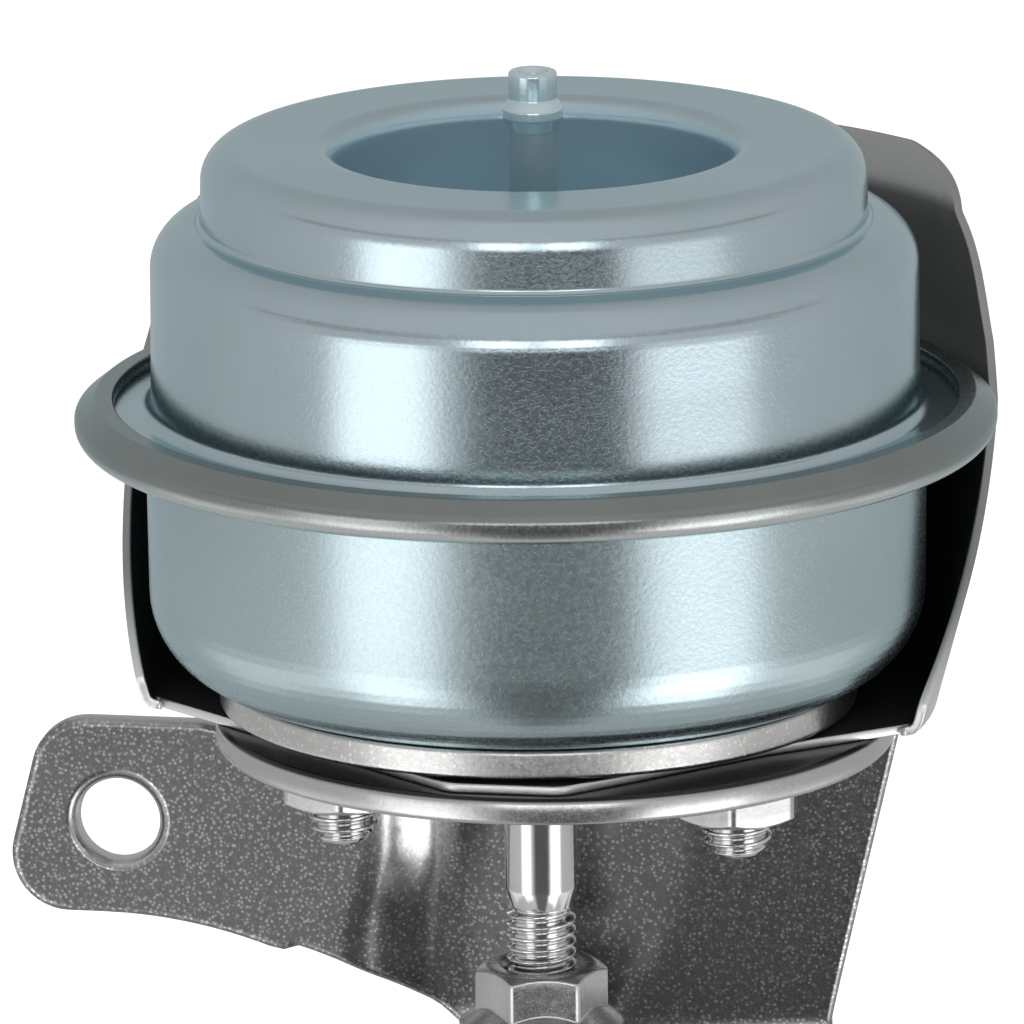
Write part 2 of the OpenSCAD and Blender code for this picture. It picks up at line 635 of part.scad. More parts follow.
// Columns run along X, close together where the skirt bends; rows run from the plate down
skirt_end_x = skirt_right_x + bracket_t;
recess_end_x = recess_left + recess_w;
skirt_x = concat([for (k = [0 : 3]) ear_low_x - bracket_t + (recess_left - ear_low_x) * k / 3],
    [for (k = [0 : 7]) recess_left + recess_w * k / 8],
    [for (k = [0 : 24]) recess_end_x + (skirt_end_x - recess_end_x) * k / 24]);
bend_rows = [for (k = [0 : 5]) 90 * k / 5];
skirt_rows = [for (k = [1 : 18]) ear_top_z + (leg_z - leg_r - bracket_t - ear_top_z) * k / 18];
rows = len(bend_rows) + len(skirt_rows) + 1;

function front_point(x, j) = j == 0 ? [x, skirt_y - bend_r - 2, under_z] :
    j <= len(bend_rows) ? let (a = bend_rows[j - 1])
        [x, skirt_front(x, ear_top_z) - bend_r + bend_r * sin(a), ear_top_z + bend_r * cos(a)] :
    let (z = skirt_rows[j - 1 - len(bend_rows)]) [x, skirt_front(x, z), z];
// Outward normal of the back face, from neighbouring points of the front face
function back_normal(x, j) = j == 0 ? [0, 0, 1] : let (
    du = front_point(x + 0.2, j) - front_point(x - 0.2, j),
    dv = j == 1 ? [0, 1, 0] : j == len(bend_rows) ? [0, 0, -1] : j < len(bend_rows) ?
        [0, cos(bend_rows[j - 1]), -sin(bend_rows[j - 1])] :
        front_point(x, min(j + 1, rows - 1)) - front_point(x, j - 1))
    unit(cross(dv, du)) * -1;

module skirt_solid() {
    n = len(skirt_x);
    front = [for (j = [0 : rows - 1], x = skirt_x) front_point(x, j)];
    back = [for (j = [0 : rows - 1], x = skirt_x)
        front_point(x, j) + bracket_t * back_normal(x, j)];
    m = n * rows;
    polyhedron(points = concat(front, back), faces = concat(
        [for (j = [0 : rows - 2], i = [0 : n - 2]) let (a = j * n + i)
            each [[a, a + 1, a + n + 1], [a, a + n + 1, a + n]]],
        [for (j = [0 : rows - 2], i = [0 : n - 2]) let (a = m + j * n + i)
            each [[a, a + n + 1, a + 1], [a, a + n, a + n + 1]]],
        [for (i = [0 : n - 2]) each [[i, m + i, m + i + 1], [i, m + i + 1, i + 1]]],
        [for (i = [0 : n - 2]) let (a = (rows - 1) * n + i)
            each [[a, a + 1, m + a + 1], [a, m + a + 1, m + a]]],
        [for (j = [0 : rows - 2]) let (a = j * n)
            each [[a, a + n, m + a + n], [a, m + a + n, m + a]]],
        [for (j = [0 : rows - 2]) let (a = j * n + n - 1)
            each [[a, m + a, m + a + n], [a, m + a + n, a + n]]]));
}

// Outline of ear, skirt and leg in the XZ plane
function bracket_outline() = concat(
    bent([[plate_left_x, ear_top_z - relief, 0], [ear_top_x + 14, ear_top_z, 3],
        [ear_top_x, ear_top_z, ear_r], [ear_low_x, ear_low_z, ear_r], [fillet_x, ear_low_z, 0]]),
    [for (a = [87 : -3 : 70]) [fillet_x + fillet_r * cos(a), ear_low_z - fillet_r + fillet_r * sin(a)]],
    [[step_x, ear_low_z - 2.8]],
    [for (a = [74 : -3 : 41]) sweep_centre + sweep_r * [cos(a), sin(a)]],
    [for (a = [224 : 8 : 360]) [leg_x + leg_r * cos(a), leg_z + leg_r * sin(a)]],
    leg_side,
    [[skirt_right_x, ear_top_z], [skirt_right_x, bracket_z + 1], [plate_left_x, bracket_z + 1]]);

// A flat shape of the XZ plane carried through the whole bracket
module through_y() translate([0, bracket_d, 0]) rotate([90, 0, 0])
    linear_extrude(2 * bracket_d) children();

module bracket() color([0.36, 0.35, 0.34]) from_rim() difference() {
    union() {
        intersection() {
            translate([bracket_shift, 0, under_z]) cylinder(d = bracket_d, h = bracket_t);
            translate([-bracket_d, -bracket_d, under_z - 1])
                cube([2 * bracket_d, bracket_d + skirt_y - bend_r, bracket_t + 2]);
        }
        intersection() {
            skirt_solid();
            through_y() polygon(bracket_outline());
        }
    }
    translate([0, 0, under_z - 1]) cylinder(d = rod_hole_d, h = bracket_t + 2);
    at_studs() translate([0, 0, under_z - 1]) cylinder(d = stud_hole_d, h = bracket_t + 2);
    through_y() translate([-ear_x, ear_centre_z]) circle(d = ear_hole_d);
    through_y() translate([leg_x, leg_z]) circle(d = leg_hole_d);
}

top_can();
lower_can();
hose_nipple();
diaphragm();
piston_cup();
clamp_washer();
spring_seat();
return_spring();
push_rod();
rod_washer();
rod_nut();
bush_housing();
guide_bush();
rod_seal();
stud_plate();
mounting_studs();
stud_washers();
stud_nuts();
heat_shield();
bracket();
lock_nut();
rod_end();
rod_end_bush();
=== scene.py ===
import math
import bmesh
import bpy
import numpy as np
from mathutils import Matrix, Vector
from mathutils.geometry import delaunay_2d_cdt


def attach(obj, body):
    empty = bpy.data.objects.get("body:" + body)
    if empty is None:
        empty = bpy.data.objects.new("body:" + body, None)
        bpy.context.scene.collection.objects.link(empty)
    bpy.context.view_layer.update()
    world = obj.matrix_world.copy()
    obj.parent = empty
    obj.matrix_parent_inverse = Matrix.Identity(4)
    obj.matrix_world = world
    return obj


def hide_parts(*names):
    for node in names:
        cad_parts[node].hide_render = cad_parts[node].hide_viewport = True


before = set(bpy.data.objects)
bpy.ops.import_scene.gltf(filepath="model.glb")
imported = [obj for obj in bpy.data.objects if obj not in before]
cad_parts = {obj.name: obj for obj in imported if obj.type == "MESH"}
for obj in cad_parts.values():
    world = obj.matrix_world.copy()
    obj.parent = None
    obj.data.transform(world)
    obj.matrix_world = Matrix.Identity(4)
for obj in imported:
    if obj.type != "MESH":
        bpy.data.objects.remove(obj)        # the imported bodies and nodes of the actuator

scene = bpy.context.scene
scene.view_settings.view_transform = "Standard"
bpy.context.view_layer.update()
mm = 0.001
rimLift = 76.5           # heights below are in mm from the rim's middle plane, this far above the eye
print("frame loaded:", len(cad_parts), "nodes")

# ---- camera
camera = {
    "target": (-0.002078, -0.000366, 0.067777),
    "forward": (-0.1682, 0.9540, -0.2483),
    "distance": 1.2,
    "rollSine": -0.01047,
    "lens": 497.85,
}


def makeCamera(c):
    data = bpy.data.cameras.new("camera")
    data.sensor_fit, data.sensor_width, data.lens = "HORIZONTAL", 36.0, c["lens"]
    data.clip_start, data.clip_end = 0.05, 50.0
    cam = bpy.data.objects.new("camera", data)
    scene.collection.objects.link(cam)
    forward = Vector(c["forward"]).normalized()
    right = forward.cross(Vector((0, 0, 1))).normalized()
    up = right.cross(forward)
    n = c["rollSine"]
    k = math.sqrt(1 - n * n)
    x, y = right * k + up * n, up * k - right * n
    cam.matrix_world = Matrix.Translation(Vector(c["target"]) - forward * c["distance"]) @ Matrix(
        (x, y, -forward)).transposed().to_4x4()
    scene.camera = cam


makeCamera(camera)
print("camera placed")


# ---- shapes

def bentPath(corners, steps=9):
    # Each row is x, y, bend radius. A bend is the arc tangent to both sides: with half the turn h,
    # it starts radius * tan(h) before the corner and runs round centre + radius * (cos a, sin a).
    c = np.array([k[:2] for k in corners], float)
    out = [c[:1]]
    for i in range(1, len(c) - 1):
        a, b = c[i] - c[i - 1], c[i + 1] - c[i]
        a, b = a / np.linalg.norm(a), b / np.linalg.norm(b)
        side = np.sign(a[0] * b[1] - a[1] * b[0])
        half = math.acos(max(-1.0, min(1.0, float(a @ b)))) / 2
        radius = corners[i][2]
        if radius <= 0 or half < 0.002:
            out.append(c[i:i + 1])
            continue
        centre = c[i] - a * radius * math.tan(half) + side * radius * np.array([-a[1], a[0]])
        start = -side * np.array([-a[1], a[0]])
        t = side * 2 * half * np.linspace(0, 1, steps + 1)
        out.append(centre + radius * np.stack([start[0] * np.cos(t) - start[1] * np.sin(t),
                                               start[0] * np.sin(t) + start[1] * np.cos(t)], 1))
    out.append(c[-1:])
    return np.concatenate(out)


def shifted(corners, d):
    # The path moved d to its left; bends to the left get tighter and bends to the right wider.
    c = np.array([k[:2] for k in corners], float)
    e = np.diff(c, axis=0)
    e /= np.linalg.norm(e, axis=1)[:, None]
    a, b = np.vstack([e[:1], e]), np.vstack([e, e[-1:]])
    m = np.stack([-a[:, 1] - b[:, 1], a[:, 0] + b[:, 0]], 1) / (1 + (a * b).sum(1))[:, None]
    turn = a[:, 0] * b[:, 1] - a[:, 1] * b[:, 0]
    radius = np.array([k[2] if len(k) > 2 else 0 for k in corners])
    radius = np.where(radius > 0, np.maximum(radius - np.sign(turn) * d, 0.05), 0)
    return np.column_stack([c + m * d, radius])


def splitLong(path, longest=1.2, close=0.15):
    # Long straights get a point close to each end and then points no more than longest apart.
    out = [path[:1]]
    for p, q in zip(path[:-1], path[1:]):
        span = np.linalg.norm(q - p)
        if span > 3 * close:
            n = max(1, int(math.ceil((span - 2 * close) / longest)))
            t = np.concatenate([np.linspace(close, span - close, n + 1), [span]]) / span
            out.append(p + (q - p) * t[:, None])
        else:
            out.append(q[None])
    return np.concatenate(out)


def roundEnd(p, q, bulge, steps=5):
    # Half ellipse from p to q that swells by bulge to the right of the line from p to q.
    mid, half = (p + q) / 2, (q - p) / 2
    out = np.array([half[1], -half[0]]) / np.linalg.norm(half)
    t = np.linspace(0, math.pi, steps + 2)[1:-1, None]
    return mid - half * np.cos(t) + out * bulge * np.sin(t)


def sheetLoop(corners, thickness, steps=9, bulge=0.25):
    # Closed outline of bent sheet: the path, a rounded end, the path moved inwards, a rounded end.
    front = splitLong(bentPath(corners, steps))
    back = splitLong(bentPath(shifted(corners, thickness), steps))[::-1]
    s = np.sign(thickness)
    return np.vstack([front, roundEnd(front[-1], back[0], s * bulge * abs(thickness)),
                      back, roundEnd(back[-1], front[0], s * bulge * abs(thickness))])


def meshObject(name, points, faces, body, slot, material, nodes, attribute=None):
    me = bpy.data.meshes.new(name)
    me.from_pydata((np.asarray(points) * mm).tolist(), [], faces)
    bm = bmesh.new()
    bm.from_mesh(me)
    if attribute is None:
        bmesh.ops.remove_doubles(bm, verts=bm.verts, dist=1e-7)
    bmesh.ops.recalc_face_normals(bm, faces=bm.faces)
    bm.to_mesh(me)
    bm.free()
    me.polygons.foreach_set("use_smooth", np.ones(len(me.polygons), bool))
    if attribute is not None:
        layer = me.attributes.new(attribute[0], "FLOAT", "POINT")
        layer.data.foreach_set("value", np.asarray(attribute[1], np.float32))
    ob = bpy.data.objects.new(name, me)
    scene.collection.objects.link(ob)
    me.materials.append(material)
    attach(ob, body)
    if nodes:
        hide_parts(*nodes)
    return ob


def gridFaces(nu, nv, wrapU, wrapV):
    # Quads between neighbouring rows and columns; a wrapped side joins its last row to its first.
    i, j = np.meshgrid(np.arange(nu if wrapU else nu - 1), np.arange(nv if wrapV else nv - 1),
                       indexing="ij")
    k, m = (i + 1) % nu, (j + 1) % nv
    return np.stack([i * nv + j, i * nv + m, k * nv + m, k * nv + j], -1).reshape(-1, 4).tolist()


def revolved(profile, turns, centre=(0.0, 0.0)):
    # Profile (r, z) turned about a vertical line: x = cx + r cos a, y = cy + r sin a, z = z + lift.
    a = np.arange(turns) * 2 * math.pi / turns
    r, z = profile[:, 0:1], profile[:, 1:2]
    x, y = centre[0] + r * np.cos(a), centre[1] + r * np.sin(a)
    return np.stack([x, y, np.broadcast_to(z + rimLift, x.shape)], -1)


def closedRing(name, profile, turns, **how):
    grid = revolved(profile, turns)
    return meshObject(name, grid.reshape(-1, 3), gridFaces(len(profile), turns, True, True), **how)


def solidRows(grid):
    # Rows of rings become one closed skin: the first and last row shrink to their middle point.
    n, m = grid.shape[:2]
    ends = np.stack([grid[0].mean(0), grid[-1].mean(0)])
    points = np.vstack([grid.reshape(-1, 3), ends])
    faces = gridFaces(n, m, False, True)
    j = np.arange(m)
    k = (j + 1) % m
    faces += np.stack([np.full(m, n * m), k, j], 1).tolist()
    faces += np.stack([np.full(m, n * m + 1), (n - 1) * m + j, (n - 1) * m + k], 1).tolist()
    return points, faces


def joined(skins):
    # Several closed skins (points, faces) as the points and faces of one piece.
    points, faces, count = [], [], 0
    for p, f in skins:
        points.append(p)
        faces += [[k + count for k in face] for face in f]
        count += len(p)
    return np.concatenate(points), faces


chunk = 3000             # points looked at in one go, to save memory
supportGap = 0.18        # a second row of points this far inside the rounded edge holds it in shape
rimStep = 0.8            # sides of the mesh along a sheet's outline
rimClear = 0.55          # a sheet's inner points stay this far from its outline and holes
threadRow = 1 / 18       # between two rows of points along a thread


def insideLoops(points, loops):
    # Even-odd rule: a point is inside when a ray along +x crosses the loops an odd number of times.
    count = np.zeros(len(points), int)
    for loop in loops:
        a, b = loop, np.roll(loop, -1, 0)
        for s in range(0, len(points), chunk):
            p = points[s:s + chunk, None]
            over = (a[:, 1] > p[..., 1]) != (b[:, 1] > p[..., 1])
            with np.errstate(divide="ignore", invalid="ignore"):
                x = a[:, 0] + (p[..., 1] - a[:, 1]) * (b[:, 0] - a[:, 0]) / (b[:, 1] - a[:, 1])
            count[s:s + chunk] += (over & (p[..., 0] < x)).sum(1)
    return count % 2 == 1


def evenLoop(loop):
    # The closed loop walked again in equal steps; its sharp corners stay where they are.
    p = np.vstack([loop, loop[:1]])
    out = []
    for a, b in zip(p[:-1], p[1:]):
        n = max(1, int(round(np.linalg.norm(b - a) / rimStep)))
        out.append(a + (b - a) * np.arange(n)[:, None] / n)
    return np.concatenate(out)


def thinned(loop, least):
    # The closed loop without points that lie closer than least to the one before.
    return loop[np.linalg.norm(loop - np.roll(loop, 1, 0), axis=1) > least]


def holeLoop(x, y, radius, n=72):
    a = -np.arange(n) * 2 * math.pi / n
    return np.stack([x + radius * np.cos(a), y + radius * np.sin(a)], 1)


def loopOut(loop):
    # Unit vectors that point away from the area on the left of a closed loop.
    e = np.roll(loop, -1, 0) - loop
    e /= np.linalg.norm(e, axis=1)[:, None]
    t = e + np.roll(e, 1, 0)
    t /= np.linalg.norm(t, axis=1)[:, None]
    return np.stack([t[:, 1], -t[:, 0]], 1)


def nearestGap(points, loops):
    # Distance from each point to the nearest loop vertex.
    every = np.concatenate(loops)
    best = np.empty(len(points))
    for s in range(0, len(points), chunk):
        d = points[s:s + chunk, None] - every[None]
        best[s:s + chunk] = np.sqrt((d * d).sum(-1).min(1))
    return best


def pressedSheet(loops, spots, place, thickness, edge):
    # A flat cut-out carried by place(uv, depth). Front and back share one triangulation; the rim
    # runs o = -e + e sin a, d = e - e cos a round the front edge, then straight, then round the back.
    outs = [loopOut(k) for k in loops]
    inset = [k - o * edge for k, o in zip(loops, outs)]
    support = [k - o * (edge + supportGap) for k, o in zip(loops, outs)]
    spots = spots[insideLoops(spots, loops)]
    spots = spots[nearestGap(spots, loops) > rimClear]
    flat = np.concatenate(inset + support + [spots])
    edges, start = [], 0
    for k in loops:
        i = np.arange(len(k))
        edges += np.stack([start + i, start + (i + 1) % len(k)], 1).tolist()
        start += len(k)
    got = delaunay_2d_cdt([Vector(p) for p in flat.tolist()], edges, [], 0, 1e-6)
    uv = np.array([tuple(v) for v in got[0]])
    tri = np.array([f for f in got[2] if len(f) == 3])
    tri = tri[insideLoops(uv[tri].mean(1), inset)]
    where = np.full(len(flat), -1)
    for new, olds in enumerate(got[3]):
        where[olds] = new
    n = len(uv)
    points = [place(uv, np.zeros(n)), place(uv, np.full(n, thickness))]
    faces = tri.tolist() + (tri[:, ::-1] + n).tolist()
    a = np.linspace(0, math.pi / 2, 4)[1:]
    out = np.concatenate([-edge + edge * np.sin(a), -edge + edge * np.cos(a[:-1])])
    deep = np.concatenate([edge - edge * np.cos(a), thickness - edge + edge * np.sin(a[:-1])])
    out = np.insert(out, 3, 0.0)
    deep = np.insert(deep, 3, thickness - edge)
    total, start = 2 * n, 0
    for k, o in zip(loops, outs):
        m = len(k)
        ring = [where[start:start + m]]
        for x, d in zip(out, deep):
            points.append(place(k + o * x, np.full(m, d)))
            ring.append(total + np.arange(m))
            total += m
        ring.append(where[start:start + m] + n)
        ring = np.array(ring)
        faces += np.stack([ring[:-1], np.roll(ring, -1, 1)[:-1], np.roll(ring, -1, 1)[1:], ring[1:]],
                          -1).reshape(-1, 4).tolist()
        start += m
    back = np.concatenate([np.zeros(n), np.ones(n), np.full(total - 2 * n, 0.5)])
    return np.concatenate(points), faces, back


def smoothStep(t):
    t = np.clip(t, 0, 1)
    return t * t * (3 - 2 * t)


def bezier(p, n):
    # Bezier curve of any order through Bernstein terms: sum of C(m,k) (1-t)^(m-k) t^k p_k.
    p = np.array(p, float)
    m, t = len(p) - 1, np.linspace(0, 1, n)[:, None]
    return sum(math.comb(m, k) * (1 - t) ** (m - k) * t ** k * p[k] for k in range(m + 1))


# ---- materials

def link(source, target):
    target.id_data.links.new(source, target)


def node(kind, inputs, **settings):
    # New node in the tree that its inputs come from; each input is linked or set to a value.
    tree = next(k.id_data for k in inputs.values() if isinstance(k, bpy.types.NodeSocket))
    n = tree.nodes.new(kind)
    for key, value in settings.items():
        setattr(n, key, value)
    for key, value in inputs.items():
        if isinstance(value, bpy.types.NodeSocket):
            link(value, n.inputs[key])
        else:
            n.inputs[key].default_value = value
    return n


def nodeTree(name):
    mat = bpy.data.materials.new(name)
    mat.use_nodes = True
    nodes = mat.node_tree.nodes
    nodes.clear()
    shader = nodes.new("ShaderNodeBsdfPrincipled")
    link(shader.outputs[0], nodes.new("ShaderNodeOutputMaterial").inputs[0])
    return mat, shader, nodes.new("ShaderNodeTexCoord").outputs["Object"]


def noise(coord, scale, detail=2.0, roughness=0.5, stretch=None):
    if stretch:
        coord = node("ShaderNodeMapping", {"Scale": stretch, "Vector": coord}).outputs[0]
    return node("ShaderNodeTexNoise", {"Scale": scale, "Detail": detail, "Roughness": roughness,
                                       "Vector": coord}).outputs["Fac"]


def cells(coord, scale):
    return node("ShaderNodeTexVoronoi", {"Scale": scale, "Vector": coord})


def spread(fac, low, high, toLow, toHigh, smooth=False):
    inputs = {"From Min": low, "From Max": high, "To Min": toLow, "To Max": toHigh, "Value": fac}
    kind = "SMOOTHSTEP" if smooth else "LINEAR"
    return node("ShaderNodeMapRange", inputs, interpolation_type=kind).outputs["Result"]


def blendColour(fac, a, b):
    a, b = ((*k, 1.0) if isinstance(k, tuple) else k for k in (a, b))
    return node("ShaderNodeMix", {"Factor": fac, "A": a, "B": b}, data_type="RGBA").outputs["Result"]


def maths(operation, a, b):
    return node("ShaderNodeMath", {0: a, 1: b}, operation=operation).outputs[0]


def times(first, *others):
    for value in others:
        first = maths("MULTIPLY", first, value)
    return first


def reach(a, b):
    # Distance sqrt(a a + b b) of two coordinates from zero.
    return maths("SQRT", maths("ADD", times(a, a), times(b, b)), 0)


def bump(height, distance, strength, before=None):
    inputs = {"Distance": distance, "Strength": strength, "Height": height}
    if before is not None:
        inputs["Normal"] = before
    return node("ShaderNodeBump", inputs).outputs["Normal"]


def metal(name, finish):
    # Metal with a slow colour drift, fine grain in its roughness, and sparkling flakes: each flake is
    # a Voronoi cell whose random height tips the surface a little. Some metals also carry pale specks,
    # painted glints.
    m = {**finishBase, **finish}
    mat, shader, coord = nodeTree(name)
    shader.inputs["Metallic"].default_value = m["metallic"]
    shader.inputs["Specular Tint"].default_value = (*m["tint"], 1.0)
    drift = noise(coord, m["driftScale"], 3.0)
    colour = blendColour(spread(drift, 0.3, 0.7, 0, 1), m["dark"], m["light"])
    flakes = cells(coord, m["flakeScale"])
    sparkle = spread(flakes.outputs["Color"], 0.0, 1.0, 0, 1)
    # Painted glints: pale specks in the colour.
    if "speckColour" in m:
        speck, size = cells(coord, m["speckScale"]), m["speckSize"]
        dots = times(spread(speck.outputs["Distance"], size * 0.3, size, m["speckMix"], 0),
                     spread(speck.outputs["Color"], *m["speckFrom"], 0, 1))
        colour = blendColour(dots, colour, m["speckColour"])
    link(colour, shader.inputs["Base Color"])
    grain = noise(coord, m["grainScale"], 2.0, 0.6, m["grainStretch"])
    link(spread(grain, 0.25, 0.75, *m["rough"]), shader.inputs["Roughness"])
    normal = bump(sparkle, m["flakeDepth"], m["flakeStrength"])
    normal = bump(grain, m["grainDepth"], m["grainStrength"], normal)
    link(normal, shader.inputs["Normal"])
    return mat


# Each finish names only what differs from finishBase
finishBase = dict(
    metallic=1.0, tint=(1.0, 1.0, 1.0), speckFrom=(0.3, 0.7), driftScale=60, flakeScale=3600,
    flakeDepth=2e-5, flakeStrength=0.4, grainScale=1500, grainStretch=None, grainDepth=2e-5,
    grainStrength=0.3)
finishes = {
    "zincCan": dict(
        dark=(0.42, 0.515, 0.55), light=(0.465, 0.555, 0.60), tint=(0.86, 0.97, 0.99), rough=(0.16, 0.22),
        flakeScale=3800, flakeDepth=1e-5, grainScale=2600, grainDepth=2.5e-5, grainStrength=0.35),
    "zincLower": dict(
        dark=(0.40, 0.49, 0.515), light=(0.45, 0.545, 0.575), tint=(0.84, 0.95, 0.97), rough=(0.22, 0.3),
        flakeDepth=1.2e-5, grainScale=2500, grainDepth=2.5e-5, grainStrength=0.4),
    "zincNipple": dict(
        dark=(0.48, 0.60, 0.64), light=(0.56, 0.67, 0.70), metallic=0.75, driftScale=120,
        rough=(0.10, 0.18), flakeScale=5200, flakeDepth=1e-5, flakeStrength=0.3, grainScale=2600,
        grainDepth=1e-5, grainStrength=0.15),
    "shield": dict(dark=(0.27, 0.27, 0.275), light=(0.35, 0.35, 0.36), driftScale=70, rough=(0.32, 0.44)),
    "bracket": dict(
        dark=(0.21, 0.207, 0.203), light=(0.25, 0.246, 0.242), rough=(0.2, 0.28), flakeScale=2900,
        flakeStrength=0.6, speckScale=2700, speckColour=(0.62, 0.615, 0.61), speckSize=0.5, speckMix=0.8,
        speckFrom=(0.1, 0.5), grainDepth=2.5e-5, grainStrength=0.4),
    "speckled": dict(
        dark=(0.50, 0.495, 0.485), light=(0.62, 0.61, 0.60), driftScale=80, rough=(0.26, 0.38),
        flakeScale=2900, flakeDepth=2.5e-5, flakeStrength=0.6, speckScale=2500,
        speckColour=(0.95, 0.95, 0.94), speckSize=0.45, speckMix=0.6, grainScale=1800, grainDepth=3e-5,
        grainStrength=0.5),
    "polished": dict(
        dark=(0.56, 0.56, 0.565), light=(0.66, 0.66, 0.665), driftScale=150, rough=(0.06, 0.13),
        flakeScale=2400, flakeDepth=6e-6, flakeStrength=0.2, grainScale=900, grainStretch=(1, 1, 0.05),
        grainDepth=6e-6, grainStrength=0.2),
    "nutSteel": dict(
        dark=(0.46, 0.46, 0.46), light=(0.58, 0.58, 0.58), driftScale=200, rough=(0.18, 0.3),
        flakeDepth=3e-5, flakeStrength=0.5, grainScale=1400),
    "plainSteel": dict(
        dark=(0.42, 0.42, 0.43), light=(0.52, 0.52, 0.53), driftScale=90, rough=(0.25, 0.38),
        flakeScale=3000, flakeStrength=0.3, grainScale=900, grainStretch=(1, 1, 0.1)),
    "springSteel": dict(
        dark=(0.16, 0.165, 0.175), light=(0.26, 0.265, 0.28), driftScale=120, rough=(0.25, 0.4),
        flakeScale=3000, flakeStrength=0.3, grainScale=1200, grainDepth=3e-5, grainStrength=0.4),
    "bronze": dict(
        dark=(0.42, 0.26, 0.11), light=(0.58, 0.38, 0.18), driftScale=300, rough=(0.35, 0.55),
        flakeScale=2600, flakeDepth=4e-5, flakeStrength=0.6, grainScale=1600, grainDepth=4e-5,
        grainStrength=0.5),
    "forged": dict(
        dark=(0.17, 0.17, 0.172), light=(0.27, 0.27, 0.272), driftScale=140, rough=(0.32, 0.5),
        flakeScale=2000, flakeDepth=6e-5, flakeStrength=0.5, grainScale=700, grainDepth=8e-5,
        grainStrength=0.5),
}
placed = ("shield", "zincLower", "zincCan", "bracket")      # these are dressed further below
metals = {k: metal(k, v) for k, v in finishes.items() if k not in placed}


def rubber():
    mat, shader, coord = nodeTree("rubber")
    black = blendColour(noise(coord, 300, 4), (0.012, 0.012, 0.013), (0.035, 0.035, 0.037))
    link(black, shader.inputs["Base Color"])
    weave = noise(coord, 1800, 2)
    link(spread(weave, 0.3, 0.7, 0.45, 0.7), shader.inputs["Roughness"])
    link(bump(weave, 4e-5, 0.5), shader.inputs["Normal"])
    return mat


metals["rubber"] = rubber()


def dressed(name, finish):
    # A metal together with what is needed to change it by place: its shader and coordinates.
    mat = metal(name, finishes[finish])
    nodes = mat.node_tree.nodes
    shader = next(n for n in nodes if n.type == "BSDF_PRINCIPLED")
    coord = next(n for n in nodes if n.type == "TEX_COORD").outputs["Object"]
    return mat, shader, coord, node("ShaderNodeSeparateXYZ", {0: coord}).outputs


def recolour(shader, mask, colour):
    socket = shader.inputs["Base Color"]
    link(blendColour(mask, socket.links[0].from_socket, colour), socket)


# Where a finish, a painted highlight or a painted shade changes, in metres: every pair is the start and end
# of a soft step along z, x, y or the distance from the rod or from the ear's hole.
shieldZones = {"nose": (0.052, 0.062), "grey": (0.070, 0.078), "lip": (0.0892, 0.0908)}
rimZones = {"radius": (0.0338, 0.0352), "under": (0.0752, 0.0763)}
wellZone = (0.01675, 0.0174)
bracketZones = {
    "plate": (0.0452, 0.0462), "top": (0.05015, 0.05030), "front": (0.0075, 0.0085),
    "low": (0.0290, 0.0390), "wall": (-0.0175, -0.0150, -0.0105, -0.0090),
    "shade": (-0.0093, -0.0086, -0.0072, -0.0060), "hole": (-0.03835, 0.0370), "edge": (0.0036, 0.0046),
    "edgeHighlight": (0.0039, 0.0047), "edgeDepth": 0.0004,
}


def shieldMetal(c):
    # Grey steel outside and on the cut edge, with a painted highlight round the nose; inside, painted
    # shade: near black low down, duller grey above the rim and lighter on the flared lip, which faces
    # the light. The piece's own attribute tells the two faces apart.
    mat, shader, coord, xyz = dressed("shieldSheet", "shield")
    side = mat.node_tree.nodes.new("ShaderNodeAttribute")
    side.attribute_name = "innerFace"
    mask = spread(side.outputs["Fac"], 0.85, 1.0, 0, 1)
    # Painted highlight: the nose is paler.
    recolour(shader, spread(xyz[2], *c["nose"], 1, 0, True), (0.74, 0.74, 0.745))
    # Painted shade inside the shield: near black low down, grey above the rim, lighter on the lip.
    paintedShade = blendColour(noise(coord, 90, 4), (0.010, 0.0105, 0.012), (0.016, 0.0165, 0.018))
    grey = blendColour(noise(coord, 60, 3), (0.085, 0.086, 0.085), (0.125, 0.126, 0.125))
    inside = blendColour(spread(xyz[2], *c["grey"], 0, 1, True), paintedShade, grey)
    inside = blendColour(spread(xyz[2], *c["lip"], 0, 1, True), inside, (0.29, 0.29, 0.29))
    recolour(shader, mask, inside)
    link(spread(mask, 0, 1, 1, 0.1), shader.inputs["Metallic"])
    rough = shader.inputs["Roughness"].links[0].from_socket
    link(maths("ADD", rough, times(mask, 0.15)), shader.inputs["Roughness"])
    return mat


def rimMetal(c):
    # The lower can's zinc, turning neutral grey on the rolled rim, with a painted highlight under its nose.
    mat, shader, coord, xyz = dressed("zincLower", "zincLower")
    rim = blendColour(noise(coord, 90, 3), (0.22, 0.24, 0.235), (0.29, 0.31, 0.305))
    # Painted highlight: paler under the rim's nose.
    rim = blendColour(spread(xyz[2], *c["under"], 1, 0, True), rim, (0.60, 0.62, 0.61))
    recolour(shader, spread(reach(xyz[0], xyz[1]), *c["radius"], 0, 1), rim)
    return mat


def wellMetal(zone):
    # The top can's zinc, bluer and duller inside the well.
    mat, shader, coord, xyz = dressed("zincTop", "zincCan")
    outside = spread(reach(xyz[0], xyz[1]), *zone, 0, 1)
    recolour(shader, spread(outside, 0, 1, 1, 0), (0.36, 0.50, 0.57))
    link(spread(outside, 0, 1, 0.6, 1), shader.inputs["Metallic"])
    return mat


